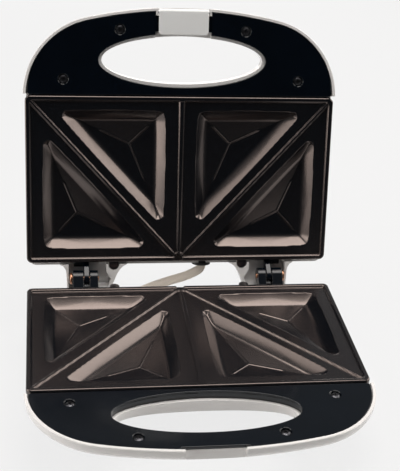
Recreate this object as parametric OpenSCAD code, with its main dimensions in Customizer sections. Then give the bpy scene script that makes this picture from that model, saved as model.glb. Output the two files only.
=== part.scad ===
// Sandwich toaster: two hinged halves with triangular-pocket plates, handle
// openings, a swinging latch clip and a braided link lead at the back.
// Each half is drawn in its own frame: X to the right, Y to the back with 0 at
// the plate's back edge, and Z up with 0 on the plane where the halves meet.
// "s" is a distance forward of the plate's back edge and "d" a depth below
// the meeting plane. The lid is the same half mirrored and swung open.

/* [Plates] */
// Width of a cooking plate
plate_w = 222; // [200:1:240]
// Length of a cooking plate from back to front
plate_l = 122; // [116:1:128]
// Depth of the flat land below the rim
land_d = 1.6; // [1:0.1:2.2]
// Underside of the plate below the rim
plate_t = 4; // [3.6:0.1:4.6]
// Depth of a pocket at its deepest point
pocket_d = 9.9; // [7:0.1:10.5]
// Width of the raised rim
rim_w = 3.6; // [3:0.2:5]
// Width of the diagonal sealing ribs
rib_w = 2.4; // [2:0.2:4]

/* [Shells] */
// Half width of the shell beside the handle
shell_hw = 112.4; // [112:0.2:118]
// Front of the shell
shell_front = 184.3; // [180:0.5:190]
// Radius of the long front curve
front_r = 300; // [250:10:360]
// Radius of the front corners
corner_r = 57; // [50:1:62]
// Depth of the body
body_d = 38; // [34:0.5:42]
// Depth of the handle
handle_d = 11.5; // [10.5:0.5:13]
// Wall thickness
wall = 2; // [1.6:0.1:2.2]

/* [Handle opening] */
// Half width of the opening in the frame
open_hw = 59.7; // [50:0.5:62]
// Middle of the opening in the base
open_s_base = 146.2; // [145:0.2:148]
// Half height of the opening in the base
open_hh_base = 20; // [17:0.2:20.4]
// Middle of the opening in the lid
open_s_lid = 147.2; // [146:0.2:148]
// Half height of the opening in the lid
open_hh_lid = 18.9; // [17:0.2:19.4]
// Width of the shell's ledge round the opening
ledge_w = 2.2; // [1.6:0.1:2.6]

/* [Hinge] */
// Hinge axis behind the plate's back edge
hinge_y = 12; // [11.5:0.1:12.5]
// Angle of the open lid
open_angle = 104; // [95:1:106]
// Radius of the hinge knuckles
knuckle_r = 6; // [5.4:0.1:6.2]
// Radius of the hinge pins
pin_r = 2; // [1.6:0.1:2.4]

/* [Stand] */
// Height of the meeting plane above the table
mate_z = 43; // [42:0.5:48]
// Middle of the part behind the plates' back edge, taken as the origin
origin_s = 56; // [50:0.1:60]

/* [Hidden] */
$fn = 48;

shell_white = [0.93, 0.92, 0.91];
frame_black = [0.06, 0.06, 0.07];
plate_dark = [0.13, 0.12, 0.12];
steel = [0.72, 0.72, 0.74];
sheet_metal = [0.8, 0.8, 0.8];
wire_white = [0.85, 0.83, 0.78];

base_half = 1;
lid_half = -1;

// Shell
plate_hw = plate_w / 2;
under_hw = plate_hw - 0.8;     // shell half width under the plate
jog_s = plate_l + 1.2;         // where the shell steps out round the handle
back_y = 2.5;                  // outside of the back wall
back_r = 6;                    // radius of the back corners
rim_d_front = 0.8;             // rim of the shell round the handle
rim_d_back = plate_t + 0.3;    // rim of the shell under the plate
draft = 0.18;                  // how far a wall leans in, per mm of depth
straight_d = 4;                // depth where the leaning starts
edge_r_handle = 7;             // rounding of the outer edge at the handle
edge_r_body = 11;              // rounding of the outer edge at the body
slope = 0.54;                  // rise of the underside towards the handle
slope_s = 134.5;               // where the handle's underside starts to fall
flat_s = slope_s - (body_d - handle_d) / slope;

// Frame
frame_d = 1.2;                 // top face of the frame
frame_t = 2.2;                 // thickness of the frame's sheet
frame_gap = 2.3;               // frame edge inside the shell's outline
frame_back = plate_l + 0.7;    // where the frame starts in front of the plate
collar_d = 6.8;                // lower end of the collar round the base opening
rail_d = plate_t + 4;          // underside of the rails that carry the plate
rail_x = 106.4;                // outside of the side rails
rail_in_x = 102.8;             // inside of the side rails
rail_front = 115.7;            // back of the front rail
rail_s = 0.6;                  // back of the back rail
rail_back = 7.8;               // front of the back rail
screw_at = [[44.7, 168.4], [84.2, 133.6]];
plate_screw_at = [[92, 3.3], [70, 119]];

// Pockets: right-hand corners of the two triangles in a cell
pocket_front = [[10.9, 112.2], [10.9, 23.2], [91.8, 112.2]];
pocket_back = [[99.4, 10], [99.4, 98.2], [19.5, 10]];
pocket_r = 5.3;
pocket_wall_in = 8.2;          // width of the sloping wall
pocket_wall_d = 8;             // depth at the foot of the sloping wall
cast_t = 2;                    // thickness of the cast pocket wall
seam_hw = 1.2;                 // half width of the rib between the cells
tab_x = 47.8;
tab_r = 3.5;
tab_y = 5.8;

// Latch
clip_hw = 17.6;
recess_hw = 18.4;
notch_hw = 20;
clip_s = 181;
clip_d = 2.4;
clip_r = 2.2;
clip_t = 1.8;
clip_l = 15.8;
lip_l = 3.6;
latch_pin_r = 1;
cheek_x = 19.7;                // outside of the cheeks that hold the pin
cheek_s = 178.8;
recess_s = 181;              // face of the recess that the clip hooks over

// Hinge: knuckles along X on the right, [inner end, outer end]
base_knuckles = [[59.6, 65.6], [70.2, 78]];
lid_knuckle = [66, 69.8];
arm_notch = [58.6, 79];
fit = 0.05;

// Inside
shield_d = 20;
shield_t = 0.8;
boss_at = [[0, 106], [45, 50.6], [-45, 50.6]];
element_r = 3.2;
element_d = 14.8;
element_x = 68;
element_s = [30, 92];
element_bend = 14;
clamp_at = [[0, 92], [27.5, 30], [-27.5, 30]];
lens_at = 10;
lens_s = 66;
lens_r = 3.6;
foot_r = 7.5;
foot_at = [[86, 13.4], [80, 78]];
gland_r = 3.6;
link_gland_r = 3.75;
cord_at = [32, -20.6];           // x and z of the mains cord's inlet
link_base = [-34, -17];        // x and z of the link lead's exit
link_lid_x = 18.2;
link_lid_d = 9.2;
lead_r = 3.5;

// Link lead, from the base's back wall to the lid's, lid open
lead_route = [[-34, -4, -17], [-34, 3, -17], [-33, 10, -16.9],
    [-29.5, 16, -16.4], [-22.5, 20.5, -15], [-14, 22.6, -12.8],
    [-4, 23, -9.4], [5.5, 22.5, -6], [12.2, 21.8, -2.4], [16.8, 21.7, 0.7],
    [18.2, 22.3, 3.3], [18.2, 22.9, 5.7], [18.2, 23.45, 7.9],
    [18.2, 23.95, 9.9]];

// ---------- points ----------

function softplus(x, k) = x > 30 * k ? x : k * ln(1 + exp(x / k));
function depth_at(s) = handle_d + softplus(slope * (slope_s - s), 2.5)
    - softplus(slope * (flat_s - s), 1.2);
function edge_r_at(s) = edge_r_handle + (edge_r_body - edge_r_handle)
    * (depth_at(s) - handle_d) / (body_d - handle_d);

front_c = shell_front - front_r;
corner_c = [shell_hw - corner_r,
    front_c + sqrt(pow(front_r - corner_r, 2) - pow(shell_hw - corner_r, 2))];
corner_end = atan2(corner_c[1] - front_c, corner_c[0]);

// Right half of the rim from back to front. A point has x and s, its share
// of the lean and rounding in x and s, and its share of the wall in x and s.
function rim_point(x, s, nx, ns) = [x, s, nx, ns, nx, ns];
function rim_right() = concat(
    [for (i = [0 : 3]) let (a = -90 + i * 30)
        [under_hw - back_r + back_r * cos(a),
            back_r - back_y + back_r * sin(a), 1, -0.5, cos(a), sin(a)]],
    [for (s = [26, 60, flat_s, 97, 110, jog_s - 0.8])
        rim_point(under_hw, s, 1, 0)],
    [for (i = [0 : 9]) let (a = i * corner_end / 9)
        rim_point(corner_c[0] + corner_r * cos(a),
            max(jog_s, corner_c[1] + corner_r * sin(a)), cos(a), sin(a))],
    [for (i = [1 : 4]) let (a = corner_end + i * (90 - corner_end) / 5)
        rim_point(front_r * cos(a), front_c + front_r * sin(a),
            cos(a), sin(a))],
    [rim_point(0, shell_front, 0, 1)]);
rim = rim_right();

// One point of the skin: level 0 is the rim and levels 1 to 5 round the edge
function skin(p, level, t) =
    let (s_in = p[1] - p[3] * edge_r_handle,
        full = depth_at(s_in) - t,
        r = max(edge_r_at(s_in) - t, 1),
        a = level <= 1 ? 0 : (level - 1) * 22.5,
        d = level == 0 ? (p[1] < jog_s - 0.1 ? rim_d_back : rim_d_front)
            : full - r + r * sin(a),
        inset = draft * max(d - straight_d, 0) + r * (1 - cos(a)))
    [p[0] - p[2] * inset - p[4] * t, -(p[1] - p[3] * inset - p[5] * t), -d];

// Closed solid inside the skin; the open top is lifted by "lift"
module skin_solid(t, lift) {
    n = len(rim);
    full = 2 * n - 1;
    function side(i) = i < n ? i : full - 1 - i;
    ring = function (level) [for (i = [0 : full - 1])
        let (q = skin(rim[side(i)], level, t))
        [i < n ? q[0] : -q[0], q[1], level == 0 ? q[2] + lift : q[2]]];
    points = [for (level = [0 : 5]) each ring(level)];
    wall_faces = [for (level = [0 : 4]) for (i = [0 : full - 1])
        let (j = (i + 1) % full, a = level * full + i, b = level * full + j)
        each [[a, b + full, b], [a, a + full, b + full]]];
    cap = function (base, flip) [for (i = [0 : n - 2])
        let (a = base + i, b = base + i + 1, c = base + full - 2 - i,
            e = base + full - 1 - i)
        each (i == n - 2 ? [flip ? [a, b, e] : [a, e, b]]
            : flip ? [[a, b, c], [a, c, e]] : [[a, c, b], [a, e, c]])];
    polyhedron(points, concat(wall_faces, cap(5 * full, false), cap(0, true)));
}

function ellipse(hw, hh, s, n = 60) = [for (i = [0 : n - 1])
    [hw * cos(i * 360 / n), -s + hh * sin(i * 360 / n)]];

function round_rect(x0, y0, x1, y1, r, n = 6) = [for (c = [
        [x1 - r, y1 - r, 0], [x0 + r, y1 - r, 90],
        [x0 + r, y0 + r, 180], [x1 - r, y0 + r, 270]])
    for (i = [0 : n]) [c[0] + r * cos(c[2] + i * 90 / n),
        c[1] + r * sin(c[2] + i * 90 / n)]];

// Frame outline: the shell's front curve moved in, and a little more at the
// sides, where the wall leans, with its back corners clear of the shell's step
function frame_outline(g) = let (side_s = 137, side_gap = 0.5,
    right = [for (p = rim) if (p[1] >= jog_s)
        let (k = g + side_gap * max(0, min(1, (side_s - p[1]) / 8)))
        [p[0] - p[2] * k, -(p[1] - p[3] * k) - (p[1] == jog_s ? 0.6 : 0)]],
    corner = [under_hw - g, frame_back])
    concat([[corner[0], -corner[1]]], right,
        [for (i = [len(right) - 2 : -1 : 0]) [-right[i][0], right[i][1]]],
        [[-corner[0], -corner[1]]]);

// Triangle with round corners, moved in by "inset"; corners in (x, s)
function unit(v) = v / norm(v);
function tri_ring(c, inset, r, n = 5) = [for (k = [0 : 2])
    let (v = c[k], e = unit(c[(k + 1) % 3] - v), f = unit(c[(k + 2) % 3] - v),
        bis = unit(e + f), half = acos(e * f) / 2,
        mid = v + bis * (inset + r) / sin(half),
        a0 = atan2(-bis[1], -bis[0]))
    for (i = [0 : n]) let (a = a0 - (90 - half) * (1 - 2 * i / n))
        mid + r * [cos(a), sin(a)]];

// Solid between rings of equal length, closed by an apex at the bottom
module pocket_solid(rings, apex) {
    m = len(rings[0]);
    k = len(rings);
    faces = concat(
        [[for (i = [0 : m - 1]) i]],
        [for (level = [0 : k - 2]) for (i = [0 : m - 1])
            let (j = (i + 1) % m, a = level * m + i, b = level * m + j)
            each [[a, b + m, b], [a, a + m, b + m]]],
        [for (i = [0 : m - 1]) let (j = (i + 1) % m)
            [(k - 1) * m + i, k * m, (k - 1) * m + j]]);
    polyhedron(concat([for (r = rings) each r], [apex]), faces);
}

function lift(ring, d) = [for (p = ring) [p[0], -p[1], -d]];

// ---------- placing ----------

module place_base() translate([0, origin_s, mate_z]) children();
module place_lid() place_base() translate([0, hinge_y, 0])
    rotate([-open_angle, 0, 0]) translate([0, -hinge_y, 0])
    mirror([0, 0, 1]) children();
module place(half) {
    if (half == base_half) place_base() children();
    else place_lid() children();
}
module both_sides() for (side = [0, 1]) mirror([side, 0, 0]) children();

// Box from x, s and d ranges
module block(x, s, d) translate([x[0], -s[1], -d[1]])
    cube([x[1] - x[0], s[1] - s[0], d[1] - d[0]]);
// Plate of a flat outline between two depths
module slab(points, d0, d1) translate([0, 0, -d1])
    linear_extrude(height = d1 - d0) polygon(points);
// Upright cylinder between two depths
module post(x, s, r, d0, d1) translate([x, -s, -d1])
    cylinder(h = d1 - d0, r = r);
// Cylinder along X
module rod_x(x0, x1, s, d, r) translate([x0, -s, -d]) rotate([0, 90, 0])
    cylinder(h = x1 - x0, r = r);

function open_s(half) = half == base_half ? open_s_base : open_s_lid;
function open_hh(half) = half == base_half ? open_hh_base : open_hh_lid;
function ledge_d(half) = half == base_half ? collar_d + 0.1
    : frame_d + frame_t + 0.1;

// ---------- shells ----------

// What stays solid inside the hollow of a shell
module shell_cores(half) {
    slab(ellipse(open_hw + 1.6, open_hh(half) + 1.6, open_s(half)),
        ledge_d(half), 22);
    both_sides() for (p = screw_at)
        post(p[0], p[1], 4, frame_d + frame_t + 1.8, 24);
    block([-24, 24], [176.5, 190], [frame_d + frame_t + 0.1, 24]);
    if (half == lid_half) both_sides() block([recess_hw, cheek_x],
        [cheek_s, 190], [1, 6]);
}

module shell_hollow(half) difference() {
    skin_solid(wall, 6);
    shell_cores(half);
}

module shell_cuts(half) {
    slab(ellipse(open_hw - ledge_w, open_hh(half) - ledge_w, open_s(half)),
        -5, 60);
    both_sides() {
        for (p = screw_at) post(p[0], p[1], 1.5 + fit, -5, 9.5);
        block(arm_notch, [-6, 3], [0, 9.4]);
    }
}

module base_shell() color(shell_white) place_base() difference() {
    skin_solid(0, 0);
    shell_hollow(base_half);
    shell_cuts(base_half);
    block([-recess_hw, recess_hw], [recess_s, 200], [-5, 20]);
    translate([cord_at[0], -20, cord_at[1]]) rotate([-90, 0, 0])
        cylinder(h = 40, r = 6);
    translate([link_base[0], -20, link_base[1]]) rotate([-90, 0, 0])
        cylinder(h = 40, r = 5.6);
    for (x = [-40 : 10 : 40]) translate([x, -62, -body_d - 4])
        linear_extrude(height = 10) polygon(round_rect(-2, -22, 2, 22, 1.9));
}

// Hood over a hinge: plan outlines on the right
function hood_outer() = [[88, -3], [87.6, 1.2], [84.6, 2.9], [82.9, 5.6],
    [82.4, 9], [82, 19.4], [80.6, 21.4], [78.4, 22], [53, 22], [50.8, 21.2],
    [49.4, 19.2], [45.6, 9.4], [43.2, 5.4], [40.6, 2.9], [38, 1.6], [37, -3]];
function hood_inner() = [[80.9, -6], [80.9, 18.6], [79.8, 20.3], [54.4, 20.3],
    [52.2, 19.4], [49.8, 13], [53.4, 7.6], [53.4, -6]];
hood_top = 8.6;

module hinge_hood() difference() {
    rotate([90, 0, 90]) linear_extrude(height = 100, convexity = 4)
        polygon([[-3, -0.5], [22, -0.5], [22, -4.8], [20.6, -8], [17.6, -9.9],
            [13, -10.6], [-3, -15]]);
    difference() {
        translate([-5, -20, -30]) cube([110, 60, 40]);
        slab(hood_outer(), -5, 32);
    }
    intersection() {
        slab(hood_inner(), -5, 31);
        rotate([90, 0, 90]) translate([0, 0, 30]) linear_extrude(height = 70)
            polygon([[-8, 5], [30, 5], [30, -3], [20.4, -4.6], [19.2, -6.9],
                [17, -8.3], [13, -hood_top], [-8, -hood_top]]);
    }
    slab(concat([[tab_x - tab_r - 0.4, -9], [tab_x - tab_r - 0.4, 2.3]],
        [for (a = [170 : -20 : 10]) [tab_x + (tab_r + 0.4) * cos(a),
            2.3 + (tab_r + 0.4) * sin(a)]],
        [[tab_x + tab_r + 0.4, 2.3], [tab_x + tab_r + 0.4, -9]]), -5, 4.2);
    translate([30, -30, -40]) cube([70, 30 + back_y - 1, 60]);
}

module lid_shell() color(shell_white) place_lid() union() {
    difference() {
        skin_solid(0, 0);
        shell_hollow(lid_half);
        shell_cuts(lid_half);
        block([-recess_hw, recess_hw], [clip_s - clip_r - 0.6, 200], [-5, 6.4]);
        block([-notch_hw, notch_hw], [158, 167.4], [-5, 7.5]);
        rod_x(-cheek_x - 0.1, cheek_x + 0.1, clip_s, clip_d, latch_pin_r + fit);
        translate([link_lid_x, -20, -link_lid_d]) rotate([-90, 0, 0])
            cylinder(h = 40, r = 5.6);
        for (x = [-lens_at, lens_at]) post(x, lens_s, lens_r + fit, 20, 60);
    }
    both_sides() hinge_hood();
}

// ---------- frames ----------

module frame_body(half) difference() {
    union() {
        slab(frame_outline(frame_gap), frame_d, frame_d + frame_t);
        slab(ellipse(open_hw + 1.8, open_hh(half) + 1.8, open_s(half)),
            frame_d + 1, ledge_d(half) - 0.1);
        block([-rail_x, rail_x], [frame_back, frame_back + 1.8],
            [frame_d + 1, rail_d]);
        slab(rail_outline(), plate_t, rail_d);
        both_sides() for (p = screw_at)
            post(p[0], p[1], 5.4, frame_d + 1, frame_d + frame_t + 1.7);
        both_sides() arms(half == base_half ? base_knuckles : [lid_knuckle]);
        if (half == lid_half) both_sides() lid_bracket();
    }
    block([-rail_in_x, rail_in_x], [rail_back, rail_front], [0, 20]);
    slab(ellipse(open_hw, open_hh(half), open_s(half)), -5, 20);
    both_sides() {
        for (p = screw_at) {
            post(p[0], p[1], 1.7, -5, 20);
            post(p[0], p[1], 4.2, -5, frame_d + 1.4);
        }
        for (p = plate_screw_at) post(p[0], p[1], 1.6, 0, 20);
        rod_x(50, 90, -hinge_y, 0, pin_r + fit);
    }
    if (half == base_half)
        block([-notch_hw, notch_hw], [shell_front - 5, 200], [-5, 20]);
    else {
        block([-notch_hw, notch_hw], [150, 200], [-5, frame_d + 1.1]);
        block([-notch_hw, notch_hw], [shell_front - 6, 200], [-5, 20]);
        block([-notch_hw, notch_hw], [158, 167.4], [-5, 20]);
    }
}

// Outside of the rails, with the back corners cut for the round shell corners
function rail_outline() = let (front = frame_back + 1, back = rail_s, cut = 3)
    [[-rail_x, -front], [rail_x, -front], [rail_x, -back - cut],
    [rail_x - cut, -back], [-rail_x + cut, -back], [-rail_x, -back - cut]];

// Arms from the back rail to the knuckles on the hinge axis
module arms(list) for (k = list) {
    rod_x(k[0], k[1], -hinge_y, 0, knuckle_r);
    rotate([90, 0, 90]) translate([0, 0, k[0]])
        linear_extrude(height = k[1] - k[0])
        polygon([[-1.5, -plate_t], [0.4, -plate_t], [hinge_y - 4.4, 4],
            [hinge_y, 4], [hinge_y, -knuckle_r], [hinge_y - 1, -knuckle_r],
            [3, -rail_d], [-1.5, -rail_d]]);
}

// Wide block behind the lid's back rail that carries its narrow knuckle
module lid_bracket() rotate([90, 0, 90]) translate([0, 0, lid_knuckle[0]])
    linear_extrude(height = 11) polygon([[-1.5, -plate_t], [0.4, -plate_t],
        [2.2, -3.2], [4.3, -5.2], [3.4, -rail_d], [-1.5, -rail_d]]);

module base_frame() color(frame_black) place_base() frame_body(base_half);
module lid_frame() color(frame_black) place_lid() frame_body(lid_half);

// ---------- plates ----------

module land_2d() {
    w = rib_w / 2;
    corner = [plate_hw - 3, plate_l - 4.4];
    along = unit(corner);
    across = [-along[1], along[0]];
    rib_s = 1.25;
    difference() {
        polygon(round_rect(-plate_hw + rim_w, -plate_l + rim_w,
            plate_hw - rim_w, -rim_w, 2.4));
        for (side = [-1, 1]) {
            rib = [for (q = [w * across, w * across + corner * 1.1,
                    -w * across + corner * 1.1, -w * across])
                [side * q[0], -q[1] - rib_s]];
            polygon(rib);
        }
        polygon([[-seam_hw, 0], [seam_hw, 0], [seam_hw, -plate_l],
            [-seam_hw, -plate_l]]);
    }
}

// Both pockets of both cells, "t" outside the cooking surface
module pockets(t, top_d) {
    steep = pocket_wall_in / (pocket_wall_d - land_d);
    top_in = (top_d - land_d) * steep - t;
    both_sides() for (tri = [pocket_front, pocket_back]) {
        a = norm(tri[1] - tri[2]);
        b = norm(tri[2] - tri[0]);
        c = norm(tri[0] - tri[1]);
        mid = (a * tri[0] + b * tri[1] + c * tri[2]) / (a + b + c);
        pocket_solid([
            lift(tri_ring(tri, top_in, pocket_r - top_in), top_d),
            lift(tri_ring(tri, pocket_wall_in - t, 1.5 + t), pocket_wall_d + t)],
            [mid[0], -mid[1], -pocket_d - t]);
    }
}

module plate_body() {
    difference() {
        union() {
            slab(round_rect(-plate_hw, -plate_l, plate_hw, 0, 4), 0, plate_t);
            pockets(cast_t, land_d + 0.7);
            for (b = boss_at) post(b[0], b[1], 2.8, plate_t - 1, shield_d);
            both_sides() {
                post(tab_x, 2.3 - tab_y + 1.2, tab_r, 1, 3.2);
                block([tab_x - tab_r, tab_x + tab_r], [-2.3, 2], [1, 3.2]);
            }
        }
        translate([0, 0, -land_d]) linear_extrude(height = land_d + 1) land_2d();
        pockets(0, -0.4);
        for (b = boss_at) post(b[0], b[1], 1.3, land_d + 3, 30);
        both_sides() for (p = plate_screw_at)
            post(p[0], p[1], 1.5 + fit, 2.3, 9);
        block([-2.6, 2.6], [-1, rim_w - 0.2], [-1, 1.2]);
    }
}

module base_plate() color(plate_dark) place_base() plate_body();
module lid_plate() color(plate_dark) place_lid() plate_body();

// ---------- heating ----------

module element_body() {
    b = element_bend;
    for (side = [-1, 1]) {
        translate([side * element_x, -element_s[1] + b, -element_d])
            rotate([90, 0, 0]) translate([0, 0, -(element_s[1] - element_s[0] - 2 * b)])
            cylinder(h = element_s[1] - element_s[0] - 2 * b, r = element_r);
        for (end = [0, 1]) translate([side * (element_x - b),
                -element_s[end] + (end == 0 ? -b : b), -element_d])
            rotate([0, 0, side > 0 ? (end == 0 ? 0 : -90) : (end == 0 ? 90 : 180)])
            rotate_extrude(angle = 90) translate([b, 0]) circle(r = element_r, $fn = 32);
    }
    rod_x(-element_x + b, element_x - b, element_s[1], element_d, element_r);
    both_sides() {
        rod_x(14, element_x - b, element_s[0], element_d, element_r);
        rod_x(10, 14, element_s[0], element_d, 2.4);
        rod_x(6.7, 10, element_s[0], element_d, 1.1);
    }
}

module clamps_body() for (c = clamp_at) translate([c[0], 0, 0])
    difference() {
        block([-3, 3], [c[1] - 4.6, c[1] + 4.6],
            [plate_t, element_d + element_r + 1.2]);
        block([-4, 4], [c[1] - 3.4, c[1] + 3.4],
            [0, element_d + element_r + 0.1]);
    }

module shield_body() difference() {
    union() {
        block([-94, 94], [13, 110], [shield_d, shield_d + shield_t]);
        both_sides() block([94 - shield_t, 94], [13, 110],
            [shield_d - 5, shield_d + shield_t]);
        for (s = [13, 110 - shield_t]) block([-94, 94], [s, s + shield_t],
            [shield_d - 3, shield_d + shield_t]);
    }
    block([-24, 24], [12, 15], [shield_d - 4, shield_d]);
    for (b = boss_at) post(b[0], b[1], 1.7, 0, 40);
}

// Pan-head screw, head at depth d0 and tip at depth d1
module pan_screw(x, s, r, head_r, head_h, d0, d1) {
    post(x, s, r, min(d0, d1), max(d0, d1));
    difference() {
        if (d1 > d0) post(x, s, head_r, d0, d0 + head_h);
        else post(x, s, head_r, d0 - head_h, d0);
        for (turn = [0, 90]) translate([x, -s, -d0]) rotate([0, 0, turn])
            cube([head_r * 1.3, 0.8, 1.2], center = true);
    }
}

module shield_screws_body() for (b = boss_at)
    pan_screw(b[0], b[1], 1.25, 3, 1.8, shield_d + shield_t + 1.8, shield_d - 7);
module frame_screws_body() both_sides() for (p = screw_at)
    pan_screw(p[0], p[1], 1.5, 3.6, 1.2, frame_d + 0.2, 9.2);
module plate_screws_body() both_sides() for (p = plate_screw_at)
    pan_screw(p[0], p[1], 1.5, 2.9, 1.8, rail_d + 1.8, 2.5);

module base_element() color(steel) place_base() element_body();
module lid_element() color(steel) place_lid() element_body();
module base_element_clamps() color(sheet_metal) place_base() clamps_body();
module lid_element_clamps() color(sheet_metal) place_lid() clamps_body();
module base_heat_shield() color(sheet_metal) place_base() shield_body();
module lid_heat_shield() color(sheet_metal) place_lid() shield_body();
module base_shield_screws() color(steel) place_base() shield_screws_body();
module lid_shield_screws() color(steel) place_lid() shield_screws_body();
module base_frame_screws() color(steel) place_base() frame_screws_body();
module lid_frame_screws() color(steel) place_lid() frame_screws_body();
module base_plate_screws() color(steel) place_base() plate_screws_body();
module lid_plate_screws() color(steel) place_lid() plate_screws_body();

// ---------- electrical parts ----------

module thermostat() color([0.2, 0.2, 0.22]) place_base() {
    difference() {
        union() {
            post(0, 70, 7.6, plate_t + 0.8, 11);
            block([-5, 5], [58, 82], [plate_t, plate_t + 0.8]);
            post(0, 70, 5, 11, 13.6);
        }
        for (s = [60, 80]) post(0, s, 1.4, 0, 10);
    }
    both_sides() block([3, 7], [76.4, 84], [11, 11.8]);
}

module thermal_fuse() color([0.75, 0.72, 0.6]) place_base() {
    translate([0, -54, -plate_t - 2]) rotate([-90, 0, 0])
        cylinder(h = 12, r = 2);
    translate([0, -57, -plate_t - 2]) rotate([-90, 0, 0])
        cylinder(h = 18, r = 0.6);
}

module terminal_block() color([0.9, 0.88, 0.82]) place_base() difference() {
    block([-76, -46], [18, 30], [25.6, body_d - wall]);
    for (i = [0 : 2]) {
        translate([-71 + i * 10, -40, -30]) rotate([-90, 0, 0])
            cylinder(h = 30, r = 1.8);
        post(-71 + i * 10, 24, 2, 20, 29);
    }
}

// Round tube swept along hand-placed points, smoothed between them
function curve_at(p, i, t) = let (n = len(p) - 1,
        a = p[max(i - 1, 0)], b = p[i], c = p[i + 1], e = p[min(i + 2, n)])
    0.5 * (2 * b + (c - a) * t + (2 * a - 5 * b + 4 * c - e) * t * t
        + (3 * b - a - 3 * c + e) * t * t * t);
function smooth(p, k) = [for (i = [0 : len(p) - 2]) for (j = [0 : k - 1])
        curve_at(p, i, j / k), p[len(p) - 1]];
function tangent(q, i) = unit(q[min(i + 1, len(q) - 1)] - q[max(i - 1, 0)]);
function carried(q, i = 0, v = [0, 0, 1]) = i >= len(q) ? []
    : let (t = tangent(q, i), w = unit(v - t * (v * t)))
    concat([w], carried(q, i + 1, w));
module tube(p, r, k = 3, sides = 10) {
    q = smooth(p, k);
    up = carried(q, 0, abs(tangent(q, 0)[2]) > 0.8 ? [1, 0, 0] : [0, 0, 1]);
    n = len(q);
    points = [for (i = [0 : n - 1]) for (j = [0 : sides - 1])
        let (a = j * 360 / sides, side_v = cross(tangent(q, i), up[i]))
        q[i] + r * (cos(a) * up[i] + sin(a) * side_v)];
    faces = concat(
        [[for (j = [0 : sides - 1]) j]],
        [[for (j = [sides - 1 : -1 : 0]) (n - 1) * sides + j]],
        [for (i = [0 : n - 2]) for (j = [0 : sides - 1])
            let (a = i * sides + j, b = i * sides + (j + 1) % sides)
            each [[a, a + sides, b], [b, a + sides, b + sides]]]);
    polyhedron(points, faces);
}

module base_wiring() color(wire_white) place_base() {
    tube([[-5.1, -30, -14.8], [-6.2, -22, -16], [-14, -12, -17.6],
        [-36, -9, -23], [-58, -9, -27.4], [-61, -13, -29.8],
        [-61, -17.8, -30]], 1.2, 2, 8);
    tube([[5.3, -30, -14.8], [3, -22, -16], [-6, -10, -17.4],
        [-38, -5.4, -25], [-66, -6, -28], [-71, -11, -29.8],
        [-71, -17.8, -30]], 1.2, 2, 8);
    tube([[-34, -6, -17], [-37, -9, -18.4], [-44, -12, -25.4],
        [-51, -15, -29.7], [-51, -17.7, -30]], 1.6, 2, 8);
    tube([[32, -5.8, -20.6], [31.8, -8.6, -20.9], [28, -12.4, -24.6],
        [20, -16.5, -27.5], [0, -22, -31], [-30, -25, -31.6],
        [-45.6, -24, -31]], 2.6, 2, 8);
}

module lid_wiring() color(wire_white) place_lid() {
    tube([[18.2, -4, -9.4], [17, -9, -11.6], [12, -16, -14], [7, -24, -15],
        [5.3, -30, -14.8]], 1.2, 2, 8);
    tube([[15, -4, -11], [7, -11, -14], [-2, -18, -15.6], [-5.6, -25, -15.6],
        [-5.2, -30, -14.8]], 1.2, 2, 8);
    tube([[21, -4, -11.6], [23, -8, -17], [21, -11, -24], [12, -24, -28.4],
        [4, -52, -28.4], [3, -57.8, -26.6]], 1, 2, 8);
}

module power_lens() color([0.8, 0.1, 0.08]) place_lid() lens(-lens_at);
module ready_lens() color([0.15, 0.6, 0.2]) place_lid() lens(lens_at);
module lens(x) {
    post(x, lens_s, lens_r, body_d - 5, body_d - 0.1);
    intersection() {
        translate([x, -lens_s, -(body_d - 6)]) sphere(r = 7.2);
        post(x, lens_s, lens_r, body_d - 0.1, body_d + 2);
    }
    post(x, lens_s, lens_r + 1.4, body_d - wall - 1.6, body_d - wall - 0.45);
}

module neon_lamps() color([0.85, 0.8, 0.7]) place_lid() {
    block([-20, 20], [lens_s - 8, lens_s + 8], [25.6, 27]);
    for (x = [-lens_at, lens_at]) post(x, lens_s, 2.4, 27, 32.2);
    for (x = [-17, 17]) post(x, lens_s, 1.6, 27, body_d - wall - 0.4);
}

module rubber_feet() color([0.1, 0.1, 0.1]) place_base()
    both_sides() for (p = foot_at) {
        post(p[0], p[1], foot_r, body_d, mate_z - 1.2);
        post(p[0], p[1], foot_r - 1, mate_z - 1.2, mate_z);
    }

// Flanged bush pressed into a back wall; the bore lets the lead through
module gland(outer_r, hole_r, y0, y1) difference() {
    union() {
        translate([0, y0, 0]) rotate([-90, 0, 0])
            cylinder(h = y1 - y0, r = outer_r);
        translate([0, y1 - 1.6, 0]) rotate([-90, 0, 0])
            cylinder(h = 1.6, r = outer_r + 1.4);
    }
    translate([0, y0 - 1, 0]) rotate([-90, 0, 0])
        cylinder(h = y1 - y0 + 2, r = hole_r);
}
module cord_gland() color([0.1, 0.1, 0.1]) place_base()
    translate([cord_at[0], 0, cord_at[1]]) gland(5.95, gland_r, -5, 3.4);
module base_link_gland() color([0.1, 0.1, 0.1]) place_base()
    translate([link_base[0], 0, link_base[1]]) gland(5.55, link_gland_r, -5, 3.7);
module lid_link_gland() color([0.1, 0.1, 0.1]) place_lid()
    translate([link_lid_x, 0, -link_lid_d]) gland(5.55, link_gland_r, 0.1, 4.2);

module link_lead() color([0.86, 0.8, 0.7]) place_base() tube(lead_route, lead_r, 3, 12);

// ---------- hinge pins and latch ----------

module hinge_pin() {
    rod_x(58.8, 79, -hinge_y, 0, pin_r);
    rod_x(78.3, 80.1, -hinge_y, 0, 4.2);
}
module hinge_pin_right() color([0.6, 0.42, 0.2]) place_base() hinge_pin();
module hinge_pin_left() color([0.6, 0.42, 0.2]) place_base()
    mirror([1, 0, 0]) hinge_pin();

module latch_pin() color(steel) place_lid()
    rod_x(-cheek_x, cheek_x, clip_s, clip_d, latch_pin_r);

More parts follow.
